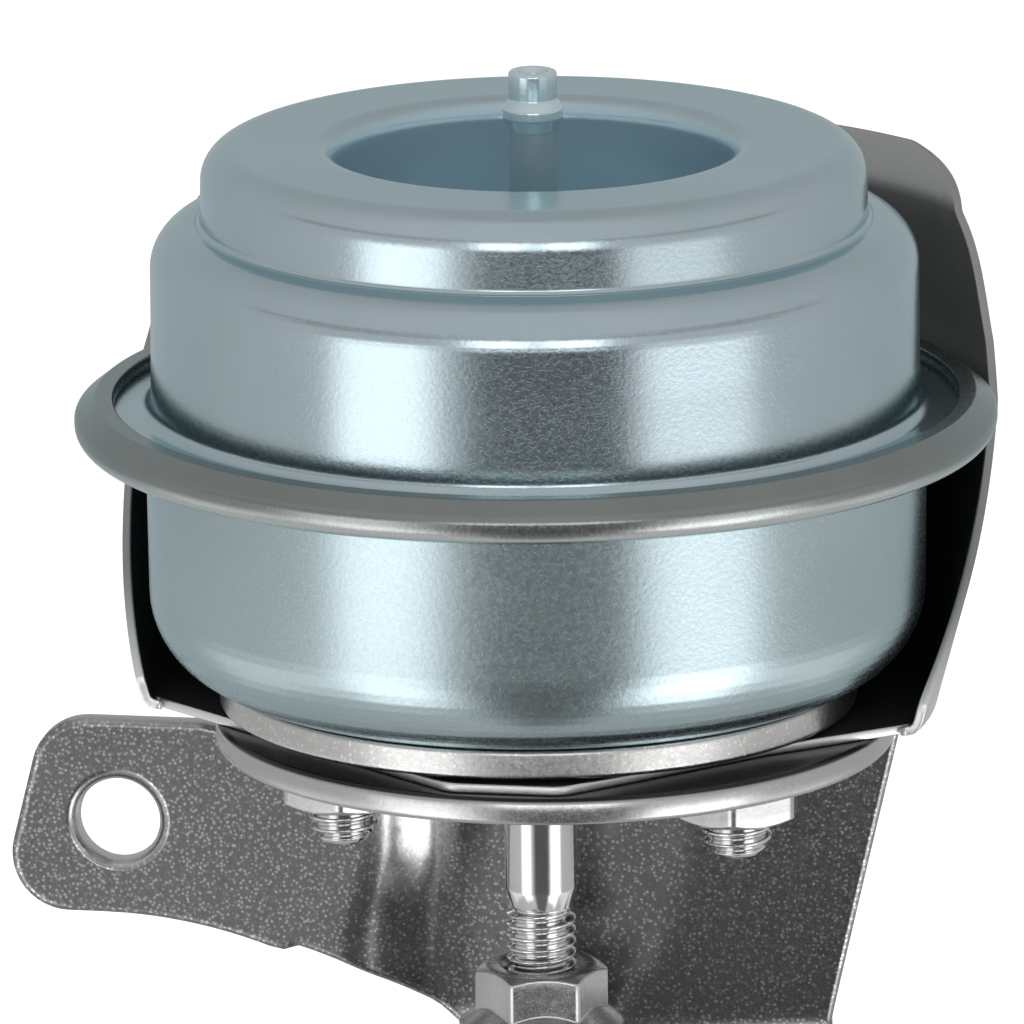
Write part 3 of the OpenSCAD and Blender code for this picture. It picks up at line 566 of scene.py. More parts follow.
def bracketMetal(c):
    # Speckled dark steel: brighter on the round plate, a painted highlight on the pressed wall of the
    # skirt, painted shade in the hollow beside it, and a near black painted shadow on top of the plate.
    mat, shader, coord, xyz = dressed("bracketSheet", "bracket")
    recolour(shader, spread(xyz[2], *c["plate"], 0, 1, True), (0.50, 0.495, 0.49))
    # Painted shadow: near black on top of the plate.
    top = spread(xyz[2], *c["top"], 0, 1)
    recolour(shader, top, (0.012, 0.0125, 0.014))
    upper = spread(xyz[2], *c["low"], 0, 1, True)
    front = spread(xyz[1], *c["front"], 0, 1)
    # Painted highlight on the skirt's pressed wall, and painted shade in the hollow beside it.
    for zone, share, colour in (("wall", 1.0, (1.0, 1.0, 0.99)), ("shade", 0.8, (0.07, 0.07, 0.07))):
        left = spread(xyz[0], *c[zone][:2], 0, 1, True)
        right = spread(xyz[0], *c[zone][2:], 1, 0, True)
        recolour(shader, times(left, right, upper, front, share), colour)
    # The ear's hole has a rounded edge: a ring whose height falls towards the hole, with a paler ring of
    # painted highlight round it.
    radius = reach(maths("SUBTRACT", xyz[0], c["hole"][0]),
                   maths("SUBTRACT", xyz[2], c["hole"][1]))
    ring = spread(radius, *c["edge"], 0, 1, True)
    rim = bump(ring, c["edgeDepth"], 1.0, shader.inputs["Normal"].links[0].from_socket)
    link(rim, shader.inputs["Normal"])
    # Painted highlight: a paler ring round the ear's hole.
    recolour(shader, spread(radius, *c["edgeHighlight"], 0.8, 0, True), (0.6, 0.6, 0.59))
    link(spread(top, 0, 1, 1, 0.2), shader.inputs["Metallic"])
    return mat


metals["shieldSheet"] = shieldMetal(shieldZones)
metals["zincLower"] = rimMetal(rimZones)
metals["zincTop"] = wellMetal(wellZone)
metals["bracketSheet"] = bracketMetal(bracketZones)

cadFinish = {
    "diaphragm": "rubber", "rod_seal": "rubber", "piston_cup": "plainSteel", "clamp_washer": "plainSteel",
    "spring_seat": "plainSteel", "return_spring": "springSteel", "rod_washer": "plainSteel",
    "rod_nut": "plainSteel", "bush_housing": "plainSteel", "guide_bush": "bronze",
    "rod_end": "forged", "rod_end_bush": "polished",
}
for name, finish in cadFinish.items():
    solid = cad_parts[name].data
    solid.materials.clear()
    solid.materials.append(metals[finish])
print("materials made:", len(metals))

# ---- cans

turns = 288

topCan = {
    "holeRadius": 2.07, "floor": 10.2, "wellRadius": 16.7, "floorBend": 2.0, "lipBend": 1.9,
    "top": 23.4, "stepRadius": 28.15, "topBend": 2.9, "ledge": 16.9, "innerBend": 0.4,
    "footOut": 0.03, "bodyRadius": 32.5, "draft": 0.06, "shoulderBend": 3.9, "waist": (0.02, 9.0, 200.0),
    "flange": 0.85, "flangeBend": 1.1, "flangeRadius": 36.85, "sheet": 1.0,
}


def makeTopCan(c):
    # The wall is drawn in two slightly leaning straights that meet in a very wide bend at its waist.
    out, height, bend = c["waist"]
    loop = sheetLoop([
        (c["holeRadius"], c["floor"], 0),
        (c["wellRadius"], c["floor"], c["floorBend"]),
        (c["wellRadius"], c["top"], c["lipBend"]),
        (c["stepRadius"] - 2 * c["draft"], c["top"], c["topBend"]),
        (c["stepRadius"] + c["footOut"], c["ledge"], c["innerBend"]),
        (c["bodyRadius"] - c["draft"], c["ledge"], c["shoulderBend"]),
        (c["bodyRadius"] - c["draft"] + out, height, bend),
        (c["bodyRadius"] + c["draft"], c["flange"], c["flangeBend"]),
        (c["flangeRadius"], c["flange"], 0)], -c["sheet"], steps=12)
    closedRing("topCan", loop, turns, body="housing", slot="zinc_can", material=metals["zincTop"],
               nodes=["top_can"])


lowerCan = {
    "holeRadius": 4.0, "base": -22.4, "bodyRadius": 32.95, "draft": 0.1, "baseBend": 7.6, "rimHalf": 1.85,
    "rimRadius": 39.045, "neckBend": 0.7, "noseBend": 0.9, "underBend": 1.6, "crestBend": 0.4,
    "slope": 38.0, "lipRadius": 35.9, "lipFlat": 1.4, "sheet": 1.0,
}


def makeLowerCan(c):
    # The wall ends in the rolled rim: under it, up its nose, over the sloped front to the flat crest,
    # and a blunt lip that lies on the upper can.
    half, crest = c["rimHalf"], c["lipRadius"] + c["lipFlat"]
    nose = half - (c["rimRadius"] - crest) * math.tan(math.radians(c["slope"]))
    wall = [
        (c["holeRadius"], c["base"], 0),
        (c["bodyRadius"] - c["draft"], c["base"], c["baseBend"]),
        (c["bodyRadius"] + c["draft"], -half, c["neckBend"]),
        (c["rimRadius"], -half, c["underBend"]),
        (c["rimRadius"], nose, c["noseBend"]),
        (crest, half, c["crestBend"]),
        (c["lipRadius"], half, 0)]
    front = splitLong(bentPath(wall, 14))
    inner = splitLong(bentPath(shifted(wall, c["sheet"]), 10))[::-1]
    lip = np.array([[c["lipRadius"] - 0.12, half - 0.06], [c["lipRadius"] - 0.2, half - 0.2],
                    [c["lipRadius"] - 0.2, half - c["sheet"] + 0.02]])
    loop = np.vstack([front, lip, inner, roundEnd(inner[-1], front[0], 0.2)])
    closedRing("lowerCan", loop, turns, body="housing", slot="zinc_can", material=metals["zincLower"],
               nodes=["lower_can"])


makeTopCan(topCan)
makeLowerCan(lowerCan)
print("cans made")

# ---- hose nipple

nipple = {
    "floor": 10.2, "sheet": 1.0, "tube": 2.05, "bore": 1.1, "mouth": 29.6, "foot": 4.5, "footHeight": 1.2,
    "barb": 2.55, "barbAt": (5.1, 4.0, 3.2, 2.4), "barbBend": 0.35, "swage": 3.2, "swageHeight": 1.0,
    "bevel": (0.25, 0.5),
}


def makeNipple(c):
    top, tube, barb, bend = c["mouth"], c["tube"], c["barb"], c["barbBend"]
    under = c["floor"] - c["sheet"]
    start, low, high, end = (top - k for k in c["barbAt"])
    outside = bentPath([
        (c["bore"], under - c["swageHeight"], 0),
        (c["swage"], under - c["swageHeight"], 0.4),
        (c["swage"], under, 0.1),
        (tube, under, 0),
        (tube, c["floor"], 0),
        (c["foot"], c["floor"], 0.05),
        (c["foot"], c["floor"] + c["footHeight"], 0.4),
        (tube, c["floor"] + c["footHeight"], 0.6),
        (tube, start, 0.6),
        (barb, low, bend),
        (barb, high, bend),
        (tube, end, bend),
        (tube, top, 0.3),
        (c["bore"] + c["bevel"][0], top, 0.2),
        (c["bore"], top - c["bevel"][1], 0)], 7)
    bore = np.linspace(top - 1.0, under - c["swageHeight"] + 1.0, 16)
    loop = np.vstack([splitLong(outside, 1.0, 0.1), [[c["bore"], k] for k in bore]])
    closedRing("hoseNipple", loop, 96, body="housing", slot="zinc_nipple", material=metals["zincNipple"],
               nodes=["hose_nipple"])


makeNipple(nipple)
print("nipple made")

# ---- stud plate

studPlate = {"hole": 4.0, "radius": 27.1, "top": -22.4, "ring": -24.9, "land": -25.2, "landRadius": 24.5,
             "edge": 0.45}


def makeStudPlate(c):
    loop = splitLong(bentPath([
        (c["hole"], c["top"] - 0.5, 0),
        (c["hole"], c["land"], 0.3),
        (c["landRadius"], c["land"], 0.3),
        (c["landRadius"], c["ring"], 0.2),
        (c["radius"], c["ring"], c["edge"]),
        (c["radius"], c["top"], c["edge"] * 0.7),
        (c["hole"], c["top"], 0.3),
        (c["hole"], c["top"] - 0.5, 0)], 6))[:-1]
    closedRing("studPlate", loop, 240, body="housing", slot="steel_speckled",
               material=metals["speckled"], nodes=["stud_plate"])


makeStudPlate(studPlate)
print("stud plate made")

# ---- push rod and studs

def threadDepth(z, a, pitch, low, high, fade):
    # Share of the thread's depth cut away at height z and angle a: a V groove with a flat crest that
    # climbs one pitch a turn, |2 frac(z / pitch - a / 2 pi) - 1|, and fades in at both ends.
    t = np.abs(2 * np.mod(z / pitch - a / (2 * math.pi), 1.0) - 1)
    groove = smoothStep((t - 0.10) / 0.84)
    return groove * smoothStep((z - low) / fade) * smoothStep((high - z) / fade)


def turnedBar(rows, radius, turnsRound, thread=None, centre=(0.0, 0.0)):
    # x = cx + r cos a, y = cy + r sin a, where r is the profile less the thread's groove.
    a = np.arange(turnsRound)[None] * 2 * math.pi / turnsRound
    z = rows[:, None]
    r = np.broadcast_to(radius[:, None], (len(rows), turnsRound)).copy()
    if thread:
        r -= thread["depth"] * threadDepth(z, a, thread["pitch"], thread["low"], thread["high"],
                                           thread["fade"])
    x, y = centre[0] + r * np.cos(a), centre[1] + r * np.sin(a)
    return np.stack([x, y, np.broadcast_to(z + rimLift, x.shape)], -1)


pushRod = {
    "low": -65.5, "top": -5.8, "shank": 3.05, "thread": 2.98, "pitch": 1.0, "depth": 0.56,
    "threadTop": -43.5, "threadSeen": -51.0, "root": 2.55, "taper": 1.8, "neck": 2.5, "neckLow": -13.9,
}


def makePushRod(c):
    outline = bentPath([
        (c["thread"] - 0.8, c["low"], 0), (c["thread"], c["low"] + 0.8, 0.1),
        (c["thread"], c["threadTop"] - 0.5, 0.3), (c["root"], c["threadTop"], 0.4),
        (c["shank"], c["threadTop"] + c["taper"], 0.8), (c["shank"], c["neckLow"] - 0.3, 0.1),
        (c["neck"], c["neckLow"], 0.05), (c["neck"], c["top"] - 0.5, 0.1),
        (c["neck"] - 0.5, c["top"], 0)], 6)
    z = np.concatenate([np.arange(c["threadSeen"], c["threadTop"] - 0.55, threadRow), outline[:, 1],
                        np.arange(c["threadTop"] + 2.5, c["neckLow"] - 1, 2.0)])
    z = np.unique(np.round(z, 4))
    z = z[np.concatenate([[True], np.diff(z) > 0.004])]
    r = np.interp(z, outline[:, 1], outline[:, 0])
    grid = turnedBar(z, r, 96, {"depth": c["depth"], "pitch": c["pitch"], "low": c["threadSeen"],
                                "high": c["threadTop"] + 0.3, "fade": 0.7})
    points, faces = solidRows(grid)
    meshObject("pushRod", points, faces, "rod", "steel_bright", metals["polished"], ["push_rod"])


studs = {
    "gap": 34.0, "radius": 2.98, "end": -38.1, "root": 2.55, "chamfer": 1.0, "pitch": 1.0, "depth": 0.5,
    "base": -21.0, "headRadius": 5.0, "headTop": -18.5,
}


def makeStuds(c):
    outline = bentPath([
        (c["radius"] - c["chamfer"], c["end"], 0), (c["radius"] - 0.45, c["end"] + 0.75, 0.3),
        (c["radius"], c["end"] + 1.3, 0.3), (c["radius"], c["base"] - 0.001, 0),
        (c["headRadius"], c["base"], 0), (c["headRadius"], c["headTop"] - 0.5, 0.1),
        (c["headRadius"] - 0.5, c["headTop"], 0)], 4)
    z = np.concatenate([np.arange(c["end"] + 0.3, c["end"] + 5.5, threadRow), outline[:, 1]])
    z = np.unique(np.round(z, 4))
    r = np.interp(z, outline[:, 1], outline[:, 0])
    thread = {"depth": c["depth"], "pitch": c["pitch"], "low": c["end"] + 0.15, "high": c["end"] + 5.4,
              "fade": 0.5}
    skins = [solidRows(turnedBar(z, r, 72, thread, (side * c["gap"] / 2, 0.0))) for side in (-1, 1)]
    meshObject("mountingStuds", *joined(skins), "housing", "steel_bright", metals["polished"],
               ["mounting_studs"])


makePushRod(pushRod)
makeStuds(studs)
print("rod and studs made")

# ---- nuts and washers

def hexRadius(a, flats, turn, corner):
    # Distance to a hexagon's side at angle a, with its corners cut back to a round of radius corner.
    t = np.mod(a - turn, math.pi / 3) - math.pi / 6
    side = flats / 2 / np.cos(t)
    return np.minimum(side, flats / 2 / math.cos(math.pi / 6) - corner)


def ringRows(rows, a, low):
    # Rows (r, z), each a number or one value per angle, as a grid of points.
    r, z = (np.stack([np.broadcast_to(k[i], a.shape) for k in rows]) for i in (0, 1))
    return r * np.cos(a), r * np.sin(a), z + low + rimLift


def hexProfile(a, c, turn):
    # For each angle the outline climbs from the bore over a 30 degree cone to the flat and back; the
    # cone meets the flat where r equals the hexagon's radius, which draws the nut's curved corners.
    big = hexRadius(a, c["flats"], turn, c["corner"])
    start = c["flats"] / 2 * c["face"]
    rise = np.tan(math.radians(c["slope"]))
    low = np.maximum((big - start) * rise, 0.04)
    rows = [(c["bore"], 0.5), (c["bore"] + 0.5, 0), (start - 0.3, 0), (start, 0.02),
            (start + 0.15, 0.02 + 0.12 * rise), (big - 0.12, np.maximum(low - 0.10 * rise, 0.03)),
            (big - 0.02, low + 0.02), (big, low + 0.16)]
    sides = [(big, low + (c["height"] - 2 * low) * t) for t in (0.2, 0.4, 0.6, 0.8)]
    return rows + sides + [(r, c["height"] - z) for r, z in rows[::-1]]


def nutGrid(c, turn, centre, low, turnsRound=180):
    a = np.arange(turnsRound) * 2 * math.pi / turnsRound
    x, y, z = ringRows(hexProfile(a, c, math.radians(turn)), a, low)
    return np.stack([centre[0] + x, centre[1] + y, z], -1)


studNuts = {
    "flats": 10.0, "height": 5.4, "bore": 2.9, "corner": 0.12, "face": 0.95, "slope": 30.0, "low": -34.8,
    "turns": (37.6, 35.4), "gap": 34.0,
}


def makeStudNuts(c):
    skins = []
    for side, turn in zip((-1, 1), c["turns"]):
        grid = nutGrid(c, turn, (side * c["gap"] / 2, 0.0), c["low"])
        skins.append((grid.reshape(-1, 3), gridFaces(*grid.shape[:2], True, True)))
    meshObject("studNuts", *joined(skins), "housing", "steel_speckled", metals["nutSteel"], ["stud_nuts"])


studWashers = {"outer": 5.5, "inner": 3.15, "low": -29.4, "height": 1.1, "edge": 0.22, "gap": 34.0}


def makeStudWashers(c):
    low, top, inner, outer, edge = c["low"], c["low"] + c["height"], c["inner"], c["outer"], c["edge"]
    loop = splitLong(bentPath([
        (inner, (low + top) / 2, 0), (inner, low, edge), (outer, low, edge), (outer, top, edge),
        (inner, top, edge), (inner, (low + top) / 2, 0)], 4))[:-1]
    skins = [(revolved(loop, 96, (side * c["gap"] / 2, 0.0)).reshape(-1, 3),
              gridFaces(len(loop), 96, True, True)) for side in (-1, 1)]
    meshObject("studWashers", *joined(skins), "housing", "steel_plain", metals["nutSteel"],
               ["stud_washers"])


lockNut = {
    "flats": 10.0, "height": 6.0, "bore": 2.9, "corner": 0.1, "face": 0.95, "slope": 32.0, "low": -54.5,
    "turn": 12.7, "flange": 7.1, "flangeEdge": 1.0, "skirt": 2.5,
}


def makeLockNut(c):
    # The hexagon stands on a round flange: at low heights r is the larger of the two, and the cone
    # of the flange, r = flange - (z - edge) / slope, dies into the flats.
    n = 240
    a = np.arange(n) * 2 * math.pi / n
    big = hexRadius(a, c["flats"], math.radians(c["turn"]), c["corner"])
    edge, skirt, flange, bore = c["flangeEdge"], c["skirt"], c["flange"], c["bore"]
    rows = [(bore, 0.6), (bore + 0.5, 0), (flange - 0.35, 0), (flange - 0.1, 0.08), (flange, 0.3),
            (flange, edge - 0.25), (flange - 0.08, edge - 0.06), (flange - 0.3, edge + 0.08)]
    fall = (flange - 0.3 - big) / (flange - 0.3 - c["flats"] / 2)
    for t in (0.25, 0.5, 0.75, 0.93, 1.0):
        rows.append((flange - 0.3 - (flange - 0.3 - big) * t, edge + 0.08 + (skirt - edge) * fall * t))
    low = edge + 0.08 + (skirt - edge) * fall
    rise = np.tan(math.radians(c["slope"]))
    start, top = c["flats"] / 2 * c["face"], c["height"]
    high = top - np.maximum((big - start) * rise, 0.04)
    rows += [(big, low + 0.12)] + [(big, low + (high - low) * t) for t in (0.25, 0.5, 0.75)]
    rows += [(big, high - 0.16), (big - 0.02, high - 0.02), (big - 0.12, high + 0.10 * rise * 0.9),
             (start + 0.1, top - 0.08), (start, top - 0.02), (start - 0.25, top), (bore + 0.75, top),
             (bore + 0.65, top - 0.06), (bore, top - 0.7)]
    grid = np.stack(ringRows(rows, a, c["low"]), -1)
    meshObject("lockNut", grid.reshape(-1, 3), gridFaces(len(rows), n, True, True), "rod", "steel_plain",
               metals["nutSteel"], ["lock_nut"])


makeStudNuts(studNuts)
makeStudWashers(studWashers)
makeLockNut(lockNut)
print("nuts and washers made")

# ---- heat shield

shield = {
    "hole": 5.5, "sheet": 0.8, "floor": -26.0, "floorRadius": 33.6, "floorBend": 1.4, "rimRadius": 40.8,
    "top": 16.9, "flare": 1.9, "flareHeight": 4.0, "flareBend": 1.6, "waist": (0.6, -1.5, 5.0),
    "upright": (3.0, 5.0), "corner": (32.6, -3.5), "wallFrom": 25.9,
    "nose": ((-8.7, -22.8), (-3.0, -27.4), (6.6, -27.4), (12.0, -22.2), (21.6, -12.4)),
    "noseBend": 2.5, "edge": 0.16,
    "side": ((-4.6, -25.2), (-7.7, -23.5), (6.0, -13.3), (17.6, 2.4)),
    "sideEnd": ((20.6, 6.5), (20.2, 14.2), (32.3, 16.9)),
    "bentFrom": 0.02, "bandBent": 0.28, "bandFlat": 1.5, "spotStep": 1.7,
}


def makeShield(c):
    # Flat polar cut-out: the distance from the rod is hole + s, where s runs along the profile, and
    # the surface is (r(s) cos a, r(s) sin a, z(s)) moved by depth along the profile's left normal.
    rim, floor = c["rimRadius"], c["floor"]
    inwards, waistHeight, waistBend = c["waist"]
    path = splitLong(bentPath([
        (c["hole"], floor, 0), (c["floorRadius"], floor, c["floorBend"]),
        (rim - inwards, waistHeight, waistBend), (rim, *c["upright"]),
        (rim, c["top"] - c["flareHeight"], c["flareBend"]), (rim + c["flare"], c["top"], 0)], 24), 0.4)
    step = np.linalg.norm(np.diff(path, axis=0), axis=1)
    path = path[np.concatenate([[True], step > 1e-6])]
    s = np.concatenate([[0], np.cumsum(np.linalg.norm(np.diff(path, axis=0), axis=1))])
    tangent = np.gradient(path, s, axis=0)
    tangent /= np.linalg.norm(tangent, axis=1)[:, None]
    left = np.stack([-tangent[:, 1], tangent[:, 0]], 1)

    def place(uv, depth):
        rho = np.hypot(uv[:, 0], uv[:, 1])
        q = rho - c["hole"]
        r = np.interp(q, s, path[:, 0]) + depth * np.interp(q, s, left[:, 0])
        z = np.interp(q, s, path[:, 1]) + depth * np.interp(q, s, left[:, 1])
        return np.stack([r * uv[:, 0] / rho, r * uv[:, 1] / rho, z + rimLift], 1)

    # Trim curve as seen from the side: how far forward the sheet reaches at each height
    side = np.vstack([bezier(c["side"], 60), bezier((c["side"][3],) + c["sideEnd"], 30)[1:]])
    a = np.radians(np.concatenate([np.linspace(-12, 60, 500), np.linspace(60, 90, 60)[1:]]))
    wall = s > c["wallFrom"]
    y = path[wall, 0] * np.sin(a)[:, None] - np.interp(path[wall, 1], side[:, 1], side[:, 0])
    cut = np.where((y < 0).any(1), np.argmax(y < 0, 1), len(s[wall]) - 1)
    before = np.maximum(cut - 1, 0)
    rows = np.arange(len(a))
    y0, y1 = y[rows, before], y[rows, cut]
    share = np.where(y1 < 0, np.clip(y0 / np.where(y0 - y1 == 0, 1, y0 - y1), 0, 1), 1)
    end = s[wall][before] + (s[wall][cut] - s[wall][before]) * share
    keep = (cut > 0) & (end > s[wall][0] + 0.05)
    right = (c["hole"] + end[keep])[:, None] * np.stack([np.cos(a[keep]), np.sin(a[keep])], 1)
    leftHalf = (right * [-1, 1])[::-1][1:]
    corner = c["corner"]
    nose = bentPath([(-corner[0], corner[1], 0)] + [(*p, c["noseBend"]) for p in c["nose"]]
                    + [(*corner, 0)], 8)
    outer = thinned(np.vstack([right, leftHalf, nose]), 0.02)
    loops = [evenLoop(outer), holeLoop(0, 0, c["hole"])]

    # Inner points on rings round the hole, which lie closer where the profile curves
    radii, last = [], 0.0
    curve = np.abs(np.gradient(np.unwrap(np.arctan2(tangent[:, 1], tangent[:, 0])), s))
    for q, band in zip(s, np.where(curve > c["bentFrom"], c["bandBent"], c["bandFlat"])):
        if q - last > band:
            radii.append(q)
            last = q
    spots = []
    for i, q in enumerate(radii):
        rho = c["hole"] + q
        n = max(24, int(2 * math.pi * rho / c["spotStep"]))
        t = (np.arange(n) + 0.5 * (i % 2)) * 2 * math.pi / n
        spots.append(rho * np.stack([np.cos(t), np.sin(t)], 1))
    points, faces, back = pressedSheet(loops, np.concatenate(spots), place, c["sheet"], c["edge"])
    meshObject("heatShield", points, faces, "housing", "shield_steel", metals["shieldSheet"],
               ["heat_shield"], ("innerFace", back))


makeShield(shield)
print("heat shield made")

# ---- bracket

bracket = {
    "sheet": 2.3, "plateShift": 1.4, "plateRadius": 28.9, "under": -28.3, "skirtY": 8.0, "bend": 2.3,
    "recessDepth": 3.8, "recessLeft": -16.6, "leftLow": 2.4, "recessWidth": 8.8, "recessLowWidth": 11.5,
    "widenFrom": 3.0, "widenOver": 10.0, "wallAt": (0.0, 0.28, 0.58, 0.67, 1.0),
    "wallSlope": (0.0, 1.0, 1.0, 0.22, 0.0), "lean": 0.14, "creaseMid": (-2.0, -38.0),
    "creaseReach": (12.0, 20.0), "creaseWidth": 3.0, "footFrom": 6.0, "footRise": 10.0, "pullOver": 5.0,
    "earX": 38.35, "earZ": -39.5, "earHole": 3.6, "earBend": 5.0, "earDrop": 8.4,
    "earCorners": (7.45, -6.55, -10.9, -1.65), "relief": 0.9, "fillet": 44.0, "filletArc": (87, 69),
    "stepX": -24.0, "stepDrop": 2.8, "sweep": (-32.6, -84.9, 36.0), "sweepArc": (74, 40),
    "legX": 15.0, "legZ": -72.0, "legHole": 3.6, "legRadius": 8.5, "legArc": (224, 361),
    "legSide": (22.9, -56.8), "rightX": 28.95, "studGap": 34.0, "studHole": 3.15, "rodHole": 5.5,
    "edge": 0.55, "arcStep": 1.5, "column": 0.9, "plateRow": 1.3, "bendRows": 11, "skirtRow": 1.1,
}


def makeBracket(c):
    # One flat blank (u, v): v < 0 is the plate, then v runs round the bend, then down the skirt. The
    # skirt's front is y = skirtY + F (depth S(left) + lean R(right)): S is the summed slope of the
    # pressed wall, R a ramp that starts at a curved crease, and F brings the foot of the leg back
    # into the plane of the ear.
    arc = math.pi / 2 * c["bend"]
    topZ = c["under"] - c["bend"]
    bendY = c["skirtY"] - c["bend"]

    share = np.linspace(0, 1, 400)
    climb = np.cumsum(np.interp(share, c["wallAt"], c["wallSlope"]))
    climb = (climb - climb[0]) / (climb[-1] - climb[0])

    def recess(x, z):
        z = np.minimum(z, topZ)
        drop = np.minimum(z - c["creaseMid"][1], 0)
        fade = smoothStep(-(drop + c["widenFrom"]) / c["widenOver"])
        wide = c["recessWidth"] + (c["recessLowWidth"] - c["recessWidth"]) * fade
        start = c["recessLeft"] - c["leftLow"] * fade
        crease = c["creaseMid"][0] + c["creaseReach"][0] * np.sqrt(
            np.maximum(1 - (drop / c["creaseReach"][1]) ** 2, 0))
        t = np.maximum(x - crease, 0)
        ramp = np.where(t < c["creaseWidth"], t ** 2 / (2 * c["creaseWidth"]), t - c["creaseWidth"] / 2)
        offset = c["recessDepth"] * np.interp((x - start) / wide, share, climb) + c["lean"] * ramp
        return offset * smoothStep((z - c["legZ"] - c["footFrom"]) / c["footRise"])

    def front(u, v):
        a = np.clip(v / c["bend"], 0, math.pi / 2)
        z = np.where(v < arc, c["under"] - c["bend"] * (1 - np.cos(a)), topZ - (v - arc))
        pull = smoothStep((v + c["pullOver"]) / c["pullOver"])
        y = np.where(v < 0, bendY + v, bendY + c["bend"] * np.sin(a)) + recess(u, z) * pull
        return np.stack([u, y, z], 1)

    def place(uv, depth):
        u, v = uv[:, 0], uv[:, 1]
        h = 0.05         # half the span of the differences that give the surface's normal
        normal = np.cross(front(u + h, v) - front(u - h, v), front(u, v + h) - front(u, v - h))
        normal /= np.linalg.norm(normal, axis=1)[:, None]
        return front(u, v) + normal * depth[:, None] + [0, 0, rimLift]

    def down(z):
        # Height on the skirt to its place on the blank.
        return arc + topZ - z

    shift, radius = c["plateShift"], c["plateRadius"]
    wide = math.sqrt(radius ** 2 - c["skirtY"] ** 2)
    a = np.linspace(math.asin(bendY / radius), -math.pi - math.asin(bendY / radius), 260)
    disc = np.stack([shift + radius * np.cos(a), radius * np.sin(a) - bendY], 1)
    earTop, earLow = topZ, c["earZ"] - c["earDrop"]
    neck, crown, tip, heel = (k - c["earX"] for k in c["earCorners"])
    left = bentPath([
        (shift - wide, down(earTop + 0.2), 0), (shift - wide - 0.6, down(earTop - c["relief"]), 0.5),
        (neck, down(earTop), 3), (crown, down(earTop), c["earBend"]),
        (tip, down(earLow), c["earBend"]), (heel, down(earLow), 0)], 12)

    def arcOf(x, z, r, span, step):
        # Part of a circle on the skirt, from one angle to the next in degrees.
        t = np.radians(np.arange(*span, step))
        return np.stack([x + r * np.cos(t), down(z + r * np.sin(t))], 1)

    fillet = arcOf(heel, earLow - c["fillet"], c["fillet"], c["filletArc"], -c["arcStep"])
    sweep = arcOf(*c["sweep"], c["sweepArc"], -c["arcStep"])
    notch = np.array([[c["stepX"], down(earLow - c["stepDrop"])]])
    foot = arcOf(c["legX"], c["legZ"], c["legRadius"], c["legArc"], 6)
    right = np.array([[c["legSide"][0], down(c["legSide"][1])], [c["rightX"], arc]])
    outline = np.vstack([disc, left, fillet, notch, sweep, foot, right])
    onward = np.roll(outline, -1, 0)
    if (onward[:, 0] * outline[:, 1] - outline[:, 0] * onward[:, 1]).sum() > 0:
        outline = outline[::-1]
    outline = thinned(evenLoop(outline), 0.05)
    half = c["studGap"] / 2
    loops = [outline, holeLoop(0, -bendY, c["rodHole"]), holeLoop(-half, -bendY, c["studHole"], 48),
             holeLoop(half, -bendY, c["studHole"], 48), holeLoop(-c["earX"], down(c["earZ"]), c["earHole"]),
             holeLoop(c["legX"], down(c["legZ"]), c["legHole"])]

    # Inner points in staggered rows, which lie closer on the bend
    low, high = outline.min(0), outline.max(0)
    v = np.concatenate([np.arange(low[1], -0.3, c["plateRow"]), np.linspace(0, arc, c["bendRows"]),
                        np.arange(arc + 0.4, high[1], c["skirtRow"])])
    u = np.arange(low[0], high[0], c["column"])
    grid = np.stack(np.meshgrid(u, v), -1)
    grid[1::2, :, 0] += c["column"] / 2
    points, faces, back = pressedSheet(loops, grid.reshape(-1, 2), place, c["sheet"], c["edge"])
    meshObject("bracket", points, faces, "housing", "bracket_steel", metals["bracketSheet"], ["bracket"])


makeBracket(bracket)
print("bracket made")

# ---- floor, light

floor = {"height": -0.0085, "size": 6.0, "colour": (0.82, 0.82, 0.82), "lift": 0.42}


def makeFloor(c):
    h, z = c["size"], c["height"]
    me = bpy.data.meshes.new("floor")
    me.from_pydata([(-h, -h, z), (h, -h, z), (h, h, z), (-h, h, z)], [], [(0, 1, 2, 3)])
    ob = bpy.data.objects.new("floor", me)
    scene.collection.objects.link(ob)
    mat = bpy.data.materials.new("floor")
    mat.use_nodes = True
    tree = mat.node_tree
    tree.nodes.clear()
    path = tree.nodes.new("ShaderNodeLightPath")
    glow = node("ShaderNodeEmission", {"Strength": times(path.outputs["Is Camera Ray"], c["lift"])})
    matt = tree.nodes.new("ShaderNodeBsdfDiffuse")
    matt.inputs["Color"].default_value = (*c["colour"], 1)
    both = node("ShaderNodeAddShader", {0: matt.outputs[0], 1: glow.outputs[0]})
    node("ShaderNodeOutputMaterial", {0: both.outputs[0]})
    me.materials.append(mat)
    ob.visible_glossy = False


makeFloor(floor)

# Directions are degrees from the camera's side (At) and above the horizon (Height)
studio = {
    "azimuth": 10.0, "base": 0.62, "fallAt": (30.0, 180.0), "fall": (1.15, 0.85),
    "gap": 0.1, "gapLow": 0.24, "gapAt": (-21.0, 28.0), "gapSoft": 7.0, "gapHeight": (-88.0, -6.0),
    "left": 1.35, "leftAt": (-62.0, -31.0), "right": 0.3, "rightLow": 2.0, "rightAt": (32.0, 68.0),
    "stripSoft": 6.0, "stripHeight": (-50.0, -4.0), "lowHeight": (-19.0, -12.0),
    "front": 1.9, "frontAt": (2.0, 20.0), "frontHeight": (-4.5, 15.5),
    "band": 0.5, "bandAt": (-95.0, 95.0), "bandHeight": (17.0, 22.0),
    "glow": 0.45, "glowAt": (34.0, 120.0), "glowHeight": (-42.0, -21.0),
}


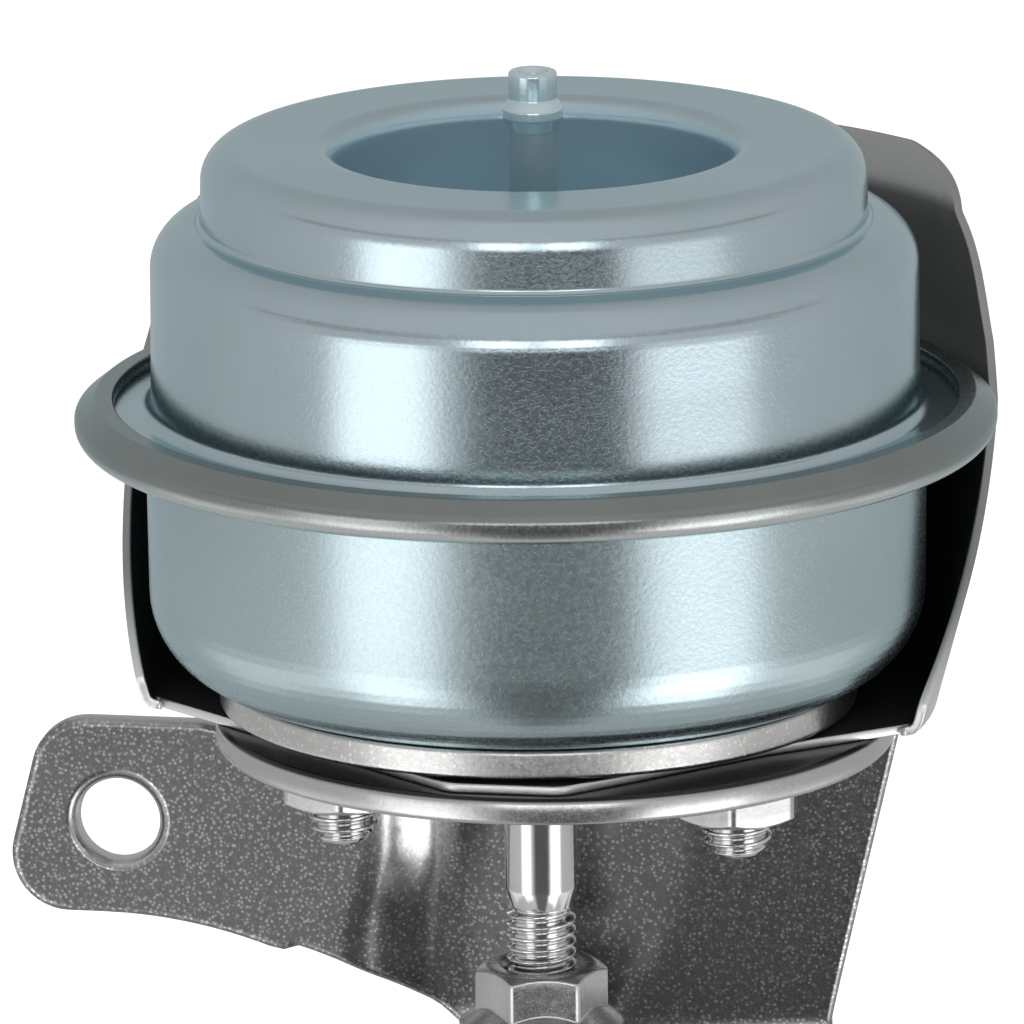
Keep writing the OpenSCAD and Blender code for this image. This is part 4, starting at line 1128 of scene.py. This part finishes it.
def makeWorld(c):
    # Soft studio drawn on the sky by direction: pale surround, a dark gap where the camera stands, a
    # bright strip on each side of it, two narrow boxes side by side above it, a darker band over
    # them, and a low glow to both sides. Camera rays see plain white.
    world = bpy.data.worlds.new("studio")
    scene.world = world
    world.use_nodes = True
    tree = world.node_tree
    tree.nodes.clear()
    coord = tree.nodes.new("ShaderNodeTexCoord").outputs["Generated"]
    x, y, z = node("ShaderNodeSeparateXYZ", {0: coord}).outputs
    sine, cosine = math.sin(math.radians(c["azimuth"])), math.cos(math.radians(c["azimuth"]))
    degrees = 180 / math.pi
    ahead = maths("ADD", times(x, sine), times(y, -cosine))
    across = maths("ADD", times(x, cosine), times(y, sine))
    turn = times(maths("ARCTAN2", across, ahead), degrees)
    away = maths("ABSOLUTE", turn, 0)
    height = times(maths("ARCSINE", z, 0), degrees)

    def window(value, span, soft):
        up = spread(value, span[0] - soft, span[0] + soft, 0, 1, True)
        down = spread(value, span[1] - soft, span[1] + soft, 1, 0, True)
        return times(up, down)

    def byHeight(low, high):
        return spread(height, *c["lowHeight"], low, high, True)

    left = times(window(turn, c["leftAt"], c["stripSoft"]), c["left"])
    right = times(window(turn, c["rightAt"], c["stripSoft"]), byHeight(c["rightLow"], c["right"]))
    strips = times(maths("ADD", left, right), window(height, c["stripHeight"], 5))
    boxes = times(window(away, c["frontAt"], 2), window(height, c["frontHeight"], 1.5), c["front"])
    glow = times(window(away, c["glowAt"], 10), window(height, c["glowHeight"], 4), c["glow"])
    value = times(spread(away, *c["fallAt"], *c["fall"], True), c["base"])
    for light in (strips, boxes, glow):
        value = maths("ADD", value, light)
    gap = times(window(turn, c["gapAt"], c["gapSoft"]), window(height, c["gapHeight"], 2),
                byHeight(1 - c["gapLow"], 1 - c["gap"]))
    band = times(window(turn, c["bandAt"], 10), window(height, c["bandHeight"], 1.5))
    value = times(value, maths("SUBTRACT", 1.0, gap), spread(band, 0, 1, 1, c["band"]))
    white = (1, 1, 1, 1)
    seen = tree.nodes.new("ShaderNodeLightPath").outputs["Is Camera Ray"]
    light = node("ShaderNodeBackground", {"Color": white, "Strength": value})
    plain = tree.nodes.new("ShaderNodeBackground")
    plain.inputs["Color"].default_value = white
    mix = node("ShaderNodeMixShader", {0: seen, 1: light.outputs[0], 2: plain.outputs[0]})
    node("ShaderNodeOutputWorld", {0: mix.outputs[0]})


makeWorld(studio)

overhead = {"at": (0.15, -0.2, 0.9), "aim": (0, 0, 0.05), "size": 0.7, "power": 4.0}


def makeOverhead(c):
    data = bpy.data.lights.new("overhead", "AREA")
    data.shape, data.size, data.energy = "SQUARE", c["size"], c["power"]
    ob = bpy.data.objects.new("overhead", data)
    scene.collection.objects.link(ob)
    ob.location = c["at"]
    ob.rotation_euler = (Vector(c["aim"]) - Vector(c["at"])).to_track_quat("-Z", "Y").to_euler()
    ob.visible_glossy = False


makeOverhead(overhead)
print("light and floor made")

print("pieces done")
